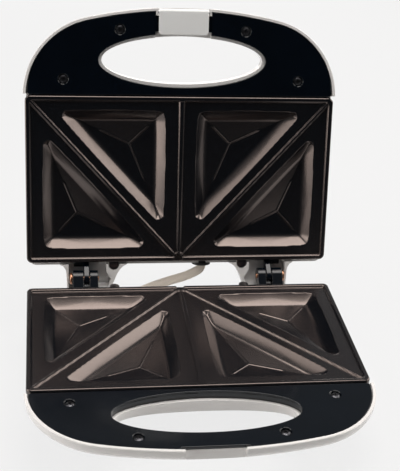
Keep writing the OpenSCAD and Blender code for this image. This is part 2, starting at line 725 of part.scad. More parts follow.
module latch_clip() color([0.85, 0.85, 0.86]) place_lid() difference() {
    union() {
        rod_x(-clip_hw, clip_hw, clip_s, clip_d, clip_r);
        slab(round_rect(-clip_hw, -clip_s, clip_hw, -(clip_s - clip_l), 1.6),
            clip_d - clip_r, clip_d - clip_r + clip_t);
        block([-clip_hw + 2, clip_hw - 2],
            [clip_s - clip_l, clip_s - clip_l + 1.6],
            [clip_d - clip_r + 0.5, clip_d - clip_r + clip_t + lip_l]);
    }
    rod_x(-30, 30, clip_s, clip_d, latch_pin_r + fit);
}

base_shell();
base_frame();
base_plate();
base_element();
base_element_clamps();
base_heat_shield();
base_shield_screws();
base_frame_screws();
base_plate_screws();
thermostat();
thermal_fuse();
terminal_block();
base_wiring();
rubber_feet();
cord_gland();
base_link_gland();
hinge_pin_left();
hinge_pin_right();
link_lead();
lid_shell();
lid_frame();
lid_plate();
lid_element();
lid_element_clamps();
lid_heat_shield();
lid_shield_screws();
lid_frame_screws();
lid_plate_screws();
lid_link_gland();
lid_wiring();
power_lens();
ready_lens();
neon_lamps();
latch_pin();
latch_clip();
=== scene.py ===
# Sandwich toaster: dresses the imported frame. Lengths in this file are millimetres
# in a half's own frame: x to the right, s forward of the plate's back edge and d
# into the half from the plane where the halves meet.
import math

import bmesh
import bpy
from mathutils import Matrix, Vector


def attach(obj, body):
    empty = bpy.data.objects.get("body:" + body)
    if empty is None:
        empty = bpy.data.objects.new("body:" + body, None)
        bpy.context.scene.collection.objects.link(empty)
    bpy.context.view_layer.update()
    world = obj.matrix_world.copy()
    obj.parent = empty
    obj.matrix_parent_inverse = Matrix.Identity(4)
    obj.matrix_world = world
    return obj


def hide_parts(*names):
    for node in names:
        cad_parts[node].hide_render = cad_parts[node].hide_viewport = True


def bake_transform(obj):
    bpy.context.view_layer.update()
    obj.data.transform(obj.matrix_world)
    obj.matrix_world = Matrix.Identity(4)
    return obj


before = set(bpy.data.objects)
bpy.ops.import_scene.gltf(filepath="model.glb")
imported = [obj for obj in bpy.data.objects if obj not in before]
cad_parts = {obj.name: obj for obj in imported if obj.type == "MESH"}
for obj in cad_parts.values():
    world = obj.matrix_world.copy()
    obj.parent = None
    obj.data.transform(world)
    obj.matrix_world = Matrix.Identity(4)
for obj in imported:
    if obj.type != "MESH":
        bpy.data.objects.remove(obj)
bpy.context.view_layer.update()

MM = 0.001

# ---------- sizes ----------
# As in the part, but for the plates' rims, the base's latch recess and the screws
ORIGIN_S = 56.0
MATE_Z = 43.0
HINGE_Y = 12.0
OPEN_COS = math.cos(math.radians(104))
OPEN_SIN = math.sin(math.radians(104))

PLATE_W = 222.0
PLATE_L = 122.0
PLATE_HW = PLATE_W / 2
LAND_D = 1.6
PLATE_T = 4.0
RIM_W = 3.5
RIM_CLEAR = 0.06
PLATE_CORNER_R = 4.0
POCKET_FRONT = ((10.9, 112.2), (10.9, 23.2), (91.8, 112.2))
POCKET_BACK = ((99.4, 10.0), (99.4, 98.2), (19.5, 10.0))
POCKET_R = 5.3

SHELL_HW = 112.4
SHELL_FRONT = 184.3
FRONT_R = 300.0
CORNER_R = 57.0
BODY_D = 38.0
HANDLE_D = 11.5
WALL = 2.0
SHELL_EDGE = 0.3
UNDER_HW = PLATE_HW - 0.8
JOG_S = PLATE_L + 1.2
BACK_Y = 2.5
BACK_R = 6.0
RIM_D_FRONT = 0.8
RIM_D_BACK = PLATE_T + 0.3
DRAFT = 0.18
STRAIGHT_D = 4.0
EDGE_R_HANDLE = 7.0
EDGE_R_BODY = 11.0
SLOPE = 0.54
SLOPE_S = 134.5
FLAT_S = SLOPE_S - (BODY_D - HANDLE_D) / SLOPE

FRAME_D = 1.2
FRAME_T = 2.2
FRAME_GAP = 2.3
FRAME_EDGE = 0.45
FRAME_BACK = PLATE_L + 0.7
COLLAR_D = 6.8
RAIL_D = PLATE_T + 4
RAIL_X = 106.4
RAIL_S = 0.6
RAIL_CUT = 3.0
SIDE_GAP = 0.5
SIDE_S = 137.0
RAIL_IN_X = 102.8
RAIL_IN_S = (7.8, 115.7)
OPEN_HW = 59.7
LEDGE_W = 2.2
SCREW_AT = [(side * x, s) for side in (-1, 1) for x, s in ((44.7, 168.4), (84.2, 133.6))]
SCREW_TURNS = (20, 57, 70, 107)
SCREW_HOLE_R = 3.6
NOTCH_HW = 20.0
NOTCH_BASE = (179.3, 1.2)
NOTCH_LID = (178.3, 0.0)
LIP_GAP_S = (158, 167.4)
RECESS_HW = 18.4
RECESS_S = 179.8
CLIP_HW = 17.6
CLIP_S = 181.0
CLIP_D = 2.4
CLIP_R = 2.2
CLIP_T = 1.8
CLIP_L = 15.8
LIP_L = 3.6
SEAT_HW = 24.0
SEAT_S = 176.5
CHEEK_X = 19.7
CHEEK_S = 178.8
TAB_X = 47.8
TAB_R = 3.5
KNUCKLE_R = 6.0
BASE_KNUCKLES = ((59.6, 65.6), (70.2, 78.0))
LID_KNUCKLE = (66.0, 69.8)
ARM_NOTCH = (58.6, 79.0)
ARM_NOTCH_D = 9.4
BRACKET = (66, 77)
CORD_AT = (32.0, 20.6)
CORD_GLAND_R = 6.0
LINK_BASE = (-34.0, 17.0)
LINK_LID = (18.2, 9.2)
GLAND_R = 5.6
VENT_HW = 2
VENT_S = (40, 84)
LENS_AT = 10.0
LENS_S = 66.0
LENS_R = 3.6


class Half:
    """Where a half's own points go in the part's frame, and what differs between the halves."""

    def __init__(self, name, open_s, open_hh, ledge_d):
        self.name = name
        self.open_s = open_s
        self.open_hh = open_hh
        self.ledge_d = ledge_d

    def at(self, x, s, d):
        if self.name == "base":
            return Vector((x, ORIGIN_S - s, MATE_Z - d)) * MM
        y = -s - HINGE_Y
        z = d
        return Vector((x, ORIGIN_S + HINGE_Y + y * OPEN_COS + z * OPEN_SIN,
                       MATE_Z - y * OPEN_SIN + z * OPEN_COS)) * MM


BASE = Half("base", 146.2, 20.0, COLLAR_D + 0.1)
LID = Half("lid", 147.2, 18.9, FRAME_D + FRAME_T + 0.1)


# ---------- meshes ----------

EDGE_STEPS = 3


def placed(name, data):
    """A new object with this data, in the scene."""
    obj = bpy.data.objects.new(name, data)
    bpy.context.scene.collection.objects.link(obj)
    return obj


def mesh_object(name, points, faces, smooth=True, sharp=35.0):
    mesh = bpy.data.meshes.new(name)
    mesh.from_pydata([tuple(p) for p in points], [], faces)
    bm = bmesh.new()
    bm.from_mesh(mesh)
    bmesh.ops.remove_doubles(bm, verts=bm.verts, dist=1e-7)
    bmesh.ops.recalc_face_normals(bm, faces=bm.faces)
    bm.to_mesh(mesh)
    bm.free()
    obj = placed(name, mesh)
    shade(obj, smooth, sharp)
    return obj


def shade(obj, smooth=True, sharp=35.0):
    for poly in obj.data.polygons:
        poly.use_smooth = smooth
    if smooth:
        obj.data.set_sharp_from_angle(angle=math.radians(sharp))


def applied(obj):
    """Bakes the modifiers into the mesh."""
    deps = bpy.context.evaluated_depsgraph_get()
    mesh = bpy.data.meshes.new_from_object(obj.evaluated_get(deps))
    obj.modifiers.clear()
    obj.data = mesh
    return obj


def boolean(obj, other, operation="DIFFERENCE"):
    mod = obj.modifiers.new("cut", "BOOLEAN")
    mod.object = other
    mod.operation = operation
    mod.solver = "EXACT"
    applied(obj)
    bpy.data.objects.remove(other)


def edged(obj, width):
    """Rounds the sharp edges of a piece with a modifier."""
    mod = obj.modifiers.new("edge", "BEVEL")
    mod.width = width * MM
    mod.segments = 2
    mod.limit_method = "ANGLE"
    mod.angle_limit = math.radians(50)
    return obj


def weighted(obj):
    """Normals that keep the large flat faces flat beside their rounded edges."""
    mod = obj.modifiers.new("normals", "WEIGHTED_NORMAL")
    mod.keep_sharp = True
    mod.weight = 80
    return applied(obj)


def joined(name, objs):
    """One object from several."""
    bm = bmesh.new()
    for o in objs:
        bm.from_mesh(o.data)
    mesh = bpy.data.meshes.new(name)
    bm.to_mesh(mesh)
    bm.free()
    for o in objs:
        bpy.data.objects.remove(o)
    return placed(name, mesh)


def prism(name, outline, z0, z1, put):
    """Closed prism of a convex or simple outline, its points passed through put(u, v, w)."""
    n = len(outline)
    points = [put(u, v, z0) for u, v in outline] + [put(u, v, z1) for u, v in outline]
    faces = [list(range(n)), list(range(2 * n - 1, n - 1, -1))]
    faces += [[i, (i + 1) % n, (i + 1) % n + n, i + n] for i in range(n)]
    return mesh_object(name, points, faces, False)


def loft(name, rings, closed_ends=True):
    """Skin through rings of equal length."""
    n = len(rings[0])
    points = [p for ring in rings for p in ring]
    faces = []
    for k in range(len(rings) - 1):
        for i in range(n):
            j = (i + 1) % n
            faces.append([k * n + i, k * n + j, (k + 1) * n + j, (k + 1) * n + i])
    if closed_ends:
        faces.append(list(range(n)))
        faces.append([(len(rings) - 1) * n + i for i in range(n)])
    return mesh_object(name, points, faces)


def ellipse(hw, hh, s, n=96, x=0.0):
    return [(x + hw * math.cos(2 * math.pi * i / n), s + hh * math.sin(2 * math.pi * i / n))
            for i in range(n)]


def circle(x, s, r, n=40):
    return ellipse(r, r, s, n, x)


def turned(name, profile, put, n=32, closed_ends=True):
    """Rings of each (radius, w) of a profile, their points passed through put(u, v, w)."""
    rings = [[put(r * u, r * v, w) for u, v in circle(0, 0, 1, n)] for r, w in profile]
    return loft(name, rings, closed_ends)


def round_rect(x0, y0, x1, y1, r, n=6):
    out = []
    for cx, cy, a0 in ((x1 - r, y1 - r, 0), (x0 + r, y1 - r, 90),
                       (x0 + r, y0 + r, 180), (x1 - r, y0 + r, 270)):
        for i in range(n + 1):
            a = math.radians(a0 + 90 * i / n)
            out.append((cx + r * math.cos(a), cy + r * math.sin(a)))
    return out


def filled(name, outlines, w0, w1, edge, put):
    """Flat piece with holes and rounded edges between w0 and w1, from outlines in u and v."""
    curve = bpy.data.curves.new(name, "CURVE")
    curve.dimensions = "2D"
    curve.fill_mode = "BOTH"
    curve.extrude = (abs(w1 - w0) / 2 - edge) * MM
    curve.bevel_depth = edge * MM
    curve.bevel_resolution = EDGE_STEPS
    curve.offset = -edge * MM
    for outline in outlines:
        spline = curve.splines.new("POLY")
        spline.points.add(len(outline) - 1)
        for i, (u, v) in enumerate(outline):
            spline.points[i].co = (u * MM, v * MM, 0, 1)
        spline.use_cyclic_u = True
    obj = placed(name + "_outline", curve)
    deps = bpy.context.evaluated_depsgraph_get()
    mesh = bpy.data.meshes.new_from_object(obj.evaluated_get(deps))
    bpy.data.objects.remove(obj)
    bm = bmesh.new()
    bm.from_mesh(mesh)
    middle = (w0 + w1) / 2
    for v in bm.verts:
        v.co = put(v.co.x / MM, v.co.y / MM, middle + v.co.z / MM)
    bmesh.ops.remove_doubles(bm, verts=bm.verts, dist=1e-6)
    bmesh.ops.recalc_face_normals(bm, faces=bm.faces)
    bm.to_mesh(mesh)
    bm.free()
    obj = placed(name, mesh)
    shade(obj)
    return obj


# ---------- shells ----------

def softplus(x, k):
    return x if x > 30 * k else k * math.log(1 + math.exp(x / k))


def depth_at(s):
    """Depth of the shell's outside: the body, a slope and the thinner handle."""
    return HANDLE_D + softplus(SLOPE * (SLOPE_S - s), 2.5) - softplus(SLOPE * (FLAT_S - s), 1.2)


def edge_r_at(s):
    share = (depth_at(s) - HANDLE_D) / (BODY_D - HANDLE_D)
    return EDGE_R_HANDLE + (EDGE_R_BODY - EDGE_R_HANDLE) * share


FRONT_C = SHELL_FRONT - FRONT_R
CORNER_C = (SHELL_HW - CORNER_R,
            FRONT_C + math.sqrt((FRONT_R - CORNER_R) ** 2 - (SHELL_HW - CORNER_R) ** 2))
CORNER_END = math.degrees(math.atan2(CORNER_C[1] - FRONT_C, CORNER_C[0]))


def rim_right(n_back=8, n_corner=30, n_front=22):
    """Right half of the rim: x, s and the shares of the lean and of the wall in x and s."""
    rim = []
    for i in range(n_back + 1):
        a = math.radians(-90 + 90 * i / n_back)
        rim.append((UNDER_HW - BACK_R + BACK_R * math.cos(a),
                    BACK_R - BACK_Y + BACK_R * math.sin(a),
                    1, -0.5, math.cos(a), math.sin(a)))
    s = 8.0
    while s < JOG_S - 2:
        rim.append((UNDER_HW, s, 1, 0, 1, 0))
        s += 4.0
    rim.append((UNDER_HW, JOG_S - 0.6, 1, 0, 1, 0))
    rim.append((UNDER_HW + 0.35, JOG_S - 0.3, 1, 0, 1, 0))
    for i in range(n_corner + 1):
        a = math.radians(i * CORNER_END / n_corner)
        rim.append((CORNER_C[0] + CORNER_R * math.cos(a),
                    max(JOG_S, CORNER_C[1] + CORNER_R * math.sin(a)),
                    math.cos(a), math.sin(a), math.cos(a), math.sin(a)))
    for i in range(1, n_front):
        a = math.radians(CORNER_END + i * (90 - CORNER_END) / n_front)
        rim.append((FRONT_R * math.cos(a), FRONT_C + FRONT_R * math.sin(a),
                    math.cos(a), math.sin(a), math.cos(a), math.sin(a)))
    rim.append((0, SHELL_FRONT, 0, 1, 0, 1))
    return rim


RIM = rim_right()


def skin(p, level, levels, t, lip=0.0):
    """One point of the skin: level 0 is the rim and the others go round the edge."""
    s_in = p[1] - p[3] * EDGE_R_HANDLE
    full = depth_at(s_in) - t
    r = max(edge_r_at(s_in) - t, 1)
    top = RIM_D_BACK if p[1] < JOG_S - 0.1 else RIM_D_FRONT
    out = 0.0
    if level == 0:
        d = top
        out = lip
    elif level == 1:
        d = top + lip
    elif level == 2:
        d = full - r
    else:
        d = full - r + r * math.sin(math.radians(90 * (level - 2) / (levels - 2)))
    turn = 0 if level <= 2 else math.radians(90 * (level - 2) / (levels - 2))
    inset = DRAFT * max(d - STRAIGHT_D, 0) + r * (1 - math.cos(turn)) + out
    return (p[0] - p[2] * inset - p[4] * t, p[1] - p[3] * inset - p[5] * t, d)


def skin_solid(name, half, t, lift, lip=0.0, levels=12):
    """Closed solid t inside the skin; its open side is lifted by lift."""
    n = len(RIM)
    full = 2 * n - 1
    points = []
    for level in range(levels + 1):
        for i in range(full):
            p = skin(RIM[i if i < n else full - 1 - i], level, levels, t, lip)
            d = p[2] - lift if level == 0 else p[2]
            points.append(half.at(p[0] if i < n else -p[0], p[1], d))
    faces = []
    for level in range(levels):
        for i in range(full):
            j = (i + 1) % full
            a, b = level * full + i, level * full + j
            faces.append([a, b, b + full, a + full])
    for base in (levels * full, 0):
        for i in range(n - 1):
            a, b = base + i, base + i + 1
            c, e = base + full - 2 - i, base + full - 1 - i
            faces.append([a, b, e] if i == n - 2 else [a, b, c, e])
    return mesh_object(name, points, faces, False)


def block(name, x, s, d, half):
    return prism(name, [(x[0], s[0]), (x[1], s[0]), (x[1], s[1]), (x[0], s[1])], d[0], d[1],
                 half.at)


def rod_y(name, x, d, r, half):
    """Round cutter through the back wall."""
    return prism(name, circle(x, d, r, 32), -20, 20, lambda u, v, w: half.at(u, w, v))


def shell(half):
    """The white moulding of one half, without the lid's hoods."""
    body = skin_solid("body", half, 0, 0, 0.35)
    hollow = skin_solid("hollow", half, WALL, 6)
    core = prism("core", ellipse(OPEN_HW + 1.6, half.open_hh + 1.6, half.open_s),
                 half.ledge_d, 22, half.at)
    boolean(hollow, core)
    seat = block("seat", (-SEAT_HW, SEAT_HW), (SEAT_S, 190), (FRAME_D + FRAME_T + 0.1, 24),
                 half)
    boolean(hollow, seat)
    if half is LID:
        for side in (-1, 1):
            x = sorted((side * RECESS_HW, side * CHEEK_X))
            boolean(hollow, block("cheek", x, (CHEEK_S, 190), (1, 6), half))
    boolean(body, hollow)
    boolean(body, prism("opening", ellipse(OPEN_HW - LEDGE_W, half.open_hh - LEDGE_W,
                                           half.open_s), -5, 60, half.at))
    for side in (-1, 1):
        x = sorted(side * end for end in ARM_NOTCH)
        boolean(body, block("arm_notch", x, (-6, 3), (0, ARM_NOTCH_D), half))
    if half is BASE:
        boolean(body, block("recess", (-RECESS_HW, RECESS_HW), (RECESS_S, 200), (-5, 20), half))
        boolean(body, rod_y("cord_hole", CORD_AT[0], CORD_AT[1], CORD_GLAND_R, half))
        boolean(body, rod_y("link_hole", LINK_BASE[0], LINK_BASE[1], GLAND_R, half))
        for x in range(-40, 41, 10):
            slot = round_rect(x - VENT_HW, VENT_S[0], x + VENT_HW, VENT_S[1], 1.9)
            boolean(body, prism("vent", slot, BODY_D - 6, BODY_D + 6, half.at))
    else:
        boolean(body, block("recess", (-RECESS_HW, RECESS_HW), (CLIP_S - CLIP_R - 0.6, 200),
                            (-5, 6.4), half))
        boolean(body, block("lip_gap", (-NOTCH_HW, NOTCH_HW), LIP_GAP_S, (-5, 7.5), half))
        boolean(body, rod_y("link_hole", LINK_LID[0], LINK_LID[1], GLAND_R, half))
        for side in (-1, 1):
            boolean(body, prism("lens_hole", circle(side * LENS_AT, LENS_S, LENS_R + 0.05),
                                20, 60, half.at))
    return body


HOOD_OUTER = ((88, -3), (87.6, 1.2), (84.6, 2.9), (82.9, 5.6), (82.4, 9), (82, 19.4),
              (80.6, 21.4), (78.4, 22), (53, 22), (50.8, 21.2), (49.4, 19.2), (45.6, 9.4),
              (43.2, 5.4), (40.6, 2.9), (38, 1.6), (37, -3))
HOOD_INNER = ((80.9, -6), (80.9, 18.6), (79.8, 20.3), (54.4, 20.3), (52.2, 19.4),
              (49.8, 13), (53.4, 7.6), (53.4, -6))
HOOD_SIDE = ((-3, 0.5), (22, 0.5), (22, 4.8), (20.6, 8), (17.6, 9.9), (13, 10.6), (-3, 15))
HOOD_HOLLOW = ((-8, -5), (30, -5), (30, 3), (20.4, 4.6), (19.2, 6.9), (17, 8.3), (13, 8.6),
               (-8, 8.6))


def hood(side):
    """The lid shell's cover over one hinge; y is behind the plate's back edge."""
    def side_put(u, v, w):
        return LID.at(side * w, -u, v)

    def plan_put(u, v, w):
        return LID.at(side * u, -v, w)

    body = prism("hood", HOOD_SIDE, 30, 95, side_put)
    boolean(body, prism("plan", HOOD_OUTER, -2, 30, plan_put), "INTERSECT")
    hollow = prism("hollow", HOOD_INNER, -5, 31, plan_put)
    boolean(hollow, prism("section", HOOD_HOLLOW, 30, 100, side_put), "INTERSECT")
    boolean(body, hollow)
    tab = [(TAB_X - TAB_R - 0.4, -9), (TAB_X - TAB_R - 0.4, 2.3)]
    tab += [(TAB_X + (TAB_R + 0.4) * math.cos(math.radians(a)),
             2.3 + (TAB_R + 0.4) * math.sin(math.radians(a))) for a in range(170, 0, -20)]
    tab += [(TAB_X + TAB_R + 0.4, 2.3), (TAB_X + TAB_R + 0.4, -9)]
    boolean(body, prism("tab", tab, -5, 4.2, plan_put))
    boolean(body, prism("back", [(30, -30), (100, -30), (100, 1.5), (30, 1.5)], -20, 40,
                        plan_put))
    return body


base_shell = shell(BASE)
lid_shell = shell(LID)
for side in (-1, 1):
    boolean(lid_shell, hood(side), "UNION")
for obj in (base_shell, lid_shell):
    shade(applied(edged(obj, SHELL_EDGE)), True, 40.0)


# ---------- plates ----------

def unit(a, b):
    length = math.hypot(b[0] - a[0], b[1] - a[1])
    return ((b[0] - a[0]) / length, (b[1] - a[1]) / length)


def triangle_lines(corners):
    """Inward distance functions of the three edges: (nx, ns, offset)."""
    lines = []
    for k in range(3):
        a, b = corners[k], corners[(k + 1) % 3]
        ux, us = unit(a, b)
        nx, ns = -us, ux
        lines.append((nx, ns, nx * a[0] + ns * a[1]))
    return lines


def inset_corners(corners, r):
    lines = triangle_lines(corners)
    out = []
    for k in range(3):
        a, b = lines[k - 1], lines[k]
        det = a[0] * b[1] - a[1] * b[0]
        ca, cb = a[2] + r, b[2] + r
        out.append(((ca * b[1] - cb * a[1]) / det, (a[0] * cb - b[0] * ca) / det))
    return out


def segment_distance(x, s, a, b):
    vx, vs = b[0] - a[0], b[1] - a[1]
    t = ((x - a[0]) * vx + (s - a[1]) * vs) / (vx * vx + vs * vs)
    t = min(1.0, max(0.0, t))
    return math.hypot(x - a[0] - t * vx, s - a[1] - t * vs), t


# Section of a pocket's wall: a rounded edge, a nearly straight slope and a curved foot
EDGE_A = 0.4
WALL_TURNS = [math.radians(a) for a in (43, 34, 7)]
WALL_AT = (EDGE_A, 6.0, 9.5)
WALL_R = [(WALL_AT[k + 1] - WALL_AT[k]) / (math.sin(WALL_TURNS[k]) - math.sin(WALL_TURNS[k + 1]))
          for k in range(2)]
WALL_D = [LAND_D + math.tan(WALL_TURNS[0]) * EDGE_A]
WALL_D += [WALL_D[0] + WALL_R[0] * (math.cos(WALL_TURNS[1]) - math.cos(WALL_TURNS[0]))]
WALL_FOOT = WALL_AT[2]
FOOT_D = WALL_D[1] + WALL_R[1] * (math.cos(WALL_TURNS[2]) - math.cos(WALL_TURNS[1]))
DEEPEST = 9.9
VALLEY = 12.0
BEAD_H = 0.5
BEAD_HW = 0.5


def wall_depth(t, slope):
    """Depth at a distance inside one edge; slope is the floor's beyond the wall's foot."""
    if t <= -EDGE_A:
        return LAND_D
    if t < EDGE_A:
        return LAND_D + math.tan(WALL_TURNS[0]) * (t + EDGE_A) ** 2 / (4 * EDGE_A)
    if t >= WALL_FOOT:
        return FOOT_D + slope * (t - WALL_FOOT)
    k = 0 if t < WALL_AT[1] else 1
    turn = math.asin(math.sin(WALL_TURNS[k]) - (t - WALL_AT[k]) / WALL_R[k])
    return WALL_D[k] + WALL_R[k] * (math.cos(turn) - math.cos(WALL_TURNS[k]))


class Pocket:
    """A three-sided hollow whose floor falls to an apex, with beads along its creases."""

    def __init__(self, corners, apex, bead_shares):
        self.lines = triangle_lines(corners)
        self.inner = inset_corners(corners, POCKET_R)
        self.apex = apex
        self.slopes = [(DEEPEST - FOOT_D) / (nx * apex[0] + ns * apex[1] - c - WALL_FOOT)
                       for nx, ns, c in self.lines]
        feet = inset_corners(corners, WALL_FOOT)
        self.beads = []
        for corner, foot, share in zip(corners, feet, bead_shares):
            reach = math.dist(corner, apex) / math.dist(foot, apex) * share
            self.beads.append((apex[0] + (foot[0] - apex[0]) * reach,
                               apex[1] + (foot[1] - apex[1]) * reach))

    def inside(self, x, s):
        """Distance inside the rounded outline, negative outside."""
        low = min(nx * x + ns * s - c - POCKET_R for nx, ns, c in self.lines)
        if low >= 0:
            return low + POCKET_R
        near = min(segment_distance(x, s, self.inner[k], self.inner[(k + 1) % 3])[0]
                   for k in range(3))
        return POCKET_R - near

    def bead(self, x, s):
        high = 0.0
        for end in self.beads:
            gap, t = segment_distance(x, s, self.apex, end)
            if gap < 3 * BEAD_HW:
                high = max(high, eased((1 - t) * 6) * math.exp(-(gap / BEAD_HW) ** 2))
        return BEAD_H * high

    def depth(self, x, s):
        t = self.inside(x, s)
        if t <= -EDGE_A:
            return LAND_D
        sides = sorted(wall_depth(nx * x + ns * s - c, slope)
                       for (nx, ns, c), slope in zip(self.lines, self.slopes))
        low = sides[0]
        width = VALLEY * (FOOT_D - low) / (FOOT_D - LAND_D)
        if width > 0:
            low -= max(0.0, width - sides[1] + sides[0]) ** 2 / (4 * width)
        if t < WALL_FOOT:
            return max(LAND_D, min(low, wall_depth(t, 0)))
        return low - self.bead(x, s)


def eased(t):
    t = min(1.0, max(0.0, t))
    return t * t * (3 - 2 * t)


POCKETS = (Pocket(POCKET_FRONT, (36.8, 86.8), (0.56, 0.46, 0.43)),
           Pocket(POCKET_BACK, (74.7, 35.8), (0.58, 0.40, 0.40)))

# Low ribs: one along each cell's diagonal and one between the cells
RIB_START = (0.0, 1.25)
RIB_DIR = unit(RIB_START, (PLATE_HW - 3.5, PLATE_L - 3.7))
RIB_HW = 0.68
RIB_FLANK = 0.9
RIB_D = 0.25
RIB_END = (3.1, 4.5)
SEAM_END = (0.0, 7.0)
SEAM_HW = (0.8, 1.2)
NOTCH_W = 3.0


def plate_depth(x, s):
    """Depth of the cooking surface at a point of the plate."""
    ax = abs(x)
    d = max(pocket.depth(ax, s) for pocket in POCKETS)
    across = abs(ax * RIB_DIR[1] - (s - RIB_START[1]) * RIB_DIR[0])
    rib = 1 - eased((across - RIB_HW) / RIB_FLANK)
    rib *= eased((ax - RIB_END[0] + 0.6) / 0.6)
    seam_hw = SEAM_HW[0] + (SEAM_HW[1] - SEAM_HW[0]) * s / PLATE_L
    seam = (1 - eased((ax - seam_hw) / RIB_FLANK)) * eased((s - SEAM_END[1]) / 0.8)
    link = segment_distance(ax, s, RIB_END, SEAM_END)[0]
    link = 1 - eased((link - 0.45) / 0.7)
    edge = min(PLATE_HW - ax, s, PLATE_L - s)
    rim = 1 - eased((edge - RIM_W + 0.6) / 0.9)
    d += (RIB_D - d) * max(rib, seam, link)
    d -= d * rim
    if ax < NOTCH_W + 1.2 and s < RIM_W + 0.6:
        notch = 1 - eased((ax - NOTCH_W + 0.4) / 0.5)
        d = max(d, 1.5 * notch * (1 - eased((s - RIM_W + 0.2) / 0.7)))
    if edge < 1.0:
        d = max(d, 1.0 - math.sqrt(max(0.0, 1.0 - (1.0 - edge) ** 2)))
    return max(d, RIM_CLEAR)


PLATE_NX = 444
PLATE_NS = 244
COARSE = 4
SLOPE_STEP = 0.08
OWN_NORMALS = 2
CAST_T = 1.6


def plate_surface():
    """Points of the cooking surface and the slopes there, for both halves."""
    tops = []
    slopes = []
    for j in range(PLATE_NS + 1):
        row = []
        tilt = []
        for i in range(PLATE_NX // 2, PLATE_NX + 1):
            x = -PLATE_HW + PLATE_W * i / PLATE_NX
            s = PLATE_L * j / PLATE_NS
            d = plate_depth(x, s)
            across = plate_depth(x + SLOPE_STEP, s) - plate_depth(x - SLOPE_STEP, s)
            along = plate_depth(x, s + SLOPE_STEP) - plate_depth(x, s - SLOPE_STEP)
            tilt.append((across / (2 * SLOPE_STEP), along / (2 * SLOPE_STEP)))
            u, v = PLATE_HW - abs(x), min(s, PLATE_L - s)
            if u < PLATE_CORNER_R and v < PLATE_CORNER_R:
                a, b = PLATE_CORNER_R - u, PLATE_CORNER_R - v
                k = max(a, b) / max(math.hypot(a, b), 1e-9)
                x = PLATE_HW - PLATE_CORNER_R + a * k
                s = (PLATE_CORNER_R - b * k if s < PLATE_L / 2
                     else PLATE_L - PLATE_CORNER_R + b * k)
                tilt[-1] = None
            row.append((x, s, d))
        tops += [(-x, s, d) for x, s, d in reversed(row[1:])] + row
        slopes += [t and (-t[0], t[1]) for t in reversed(tilt[1:])] + tilt
    return tops, slopes


SURFACE, SURFACE_SLOPES = plate_surface()


def plate(name, half):
    """The plate of one half, with the true normals of its cooking surface."""
    points = [half.at(*p) for p in SURFACE]
    origin = half.at(0, 0, 0)
    normals = []
    for k, slope in enumerate(SURFACE_SLOPES):
        i, j = k % (PLATE_NX + 1), k // (PLATE_NX + 1)
        if (slope and OWN_NORMALS < i < PLATE_NX - OWN_NORMALS
                and OWN_NORMALS < j < PLATE_NS - OWN_NORMALS):
            normals.append((half.at(slope[0], slope[1], -1) - origin).normalized())
        else:
            normals.append((0, 0, 0))
    row = PLATE_NX + 1
    faces = []
    for j in range(PLATE_NS):
        for i in range(PLATE_NX):
            a = j * row + i
            faces.append([a, a + 1, a + row + 1, a + row])
    low = {}

    def on_edge(i, j):
        return i in (0, PLATE_NX) or j in (0, PLATE_NS)

    def under(i, j):
        if (i, j) not in low:
            x, s, d = SURFACE[j * row + i]
            low[(i, j)] = len(points)
            points.append(half.at(x, s, PLATE_T if on_edge(i, j) else max(PLATE_T, d + CAST_T)))
        return low[(i, j)]

    for j in range(0, PLATE_NS, COARSE):
        for i in range(0, PLATE_NX, COARSE):
            ring = [(i + k, j) for k in range(COARSE)]
            ring += [(i + COARSE, j + k) for k in range(COARSE)]
            ring += [(i + COARSE - k, j + COARSE) for k in range(COARSE)]
            ring += [(i, j + COARSE - k) for k in range(COARSE)]
            faces.append([under(*q) for n, q in enumerate(ring)
                          if n % COARSE == 0 or on_edge(*q)])
    border = [(i, 0) for i in range(PLATE_NX)]
    border += [(PLATE_NX, j) for j in range(PLATE_NS)]
    border += [(i, PLATE_NS) for i in range(PLATE_NX, 0, -1)]
    border += [(0, j) for j in range(PLATE_NS, 0, -1)]
    for k, q in enumerate(border):
        r = border[(k + 1) % len(border)]
        faces.append([q[1] * row + q[0], under(*q), under(*r), r[1] * row + r[0]])
    surface = mesh_object(name + "_surface", points, faces, True, 60.0)
    parts = [surface]
    for side in (-1, 1):
        tab = [(side * (TAB_X - TAB_R), 1.0)]
        tab += [(side * (TAB_X + TAB_R * math.cos(math.radians(a))),
                 -2.3 + TAB_R * math.sin(math.radians(a))) for a in range(180, 361, 15)]
        tab += [(side * (TAB_X + TAB_R), 1.0)]
        parts.append(filled(name + "_tab", [tab], 1.0, 3.2, 0.35, half.at))
    whole = joined(name, parts)
    normals += [(0, 0, 0)] * (len(whole.data.vertices) - len(normals))
    whole.data.normals_split_custom_set_from_vertices(normals)
    return whole


base_plate = plate("plate_base", BASE)
lid_plate = plate("plate_lid", LID)


# ---------- frames ----------

def frame_outline(gap):
    """The shell's front curve moved in, and a little more where the wall leans."""
    right = []
    first_s = JOG_S + 0.6
    for p in RIM:
        k = gap + SIDE_GAP * min(1.0, max(0.0, (SIDE_S - p[1]) / 8))
        x, s = p[0] - p[2] * k, p[1] - p[3] * k
        if p[1] == JOG_S:
            right = [(x, first_s)]
        elif s > first_s + 0.5:
            right.append((x, s))
    corner = UNDER_HW - gap
    return ([(corner, FRAME_BACK)] + right + [(-x, s) for x, s in reversed(right[:-1])]
            + [(-corner, FRAME_BACK)])


def cut_notch(outline, hw, s0, slope):
    """Takes the outline's front middle back to s0 between -hw and hw."""
    keep = [(x, s) for x, s in outline if not (abs(x) < hw + slope and s > s0)]
    out = []
    done = False
    for x, s in keep:
        if not done and x < 0 and s > PLATE_L + 20:
            out += [(hw + slope, front_at(hw + slope)), (hw, s0), (-hw, s0),
                    (-hw - slope, front_at(hw + slope))]
            done = True
        out.append((x, s))
    return out


def front_at(x):
    return FRONT_C + math.sqrt((FRONT_R - FRAME_GAP) ** 2 - x * x)


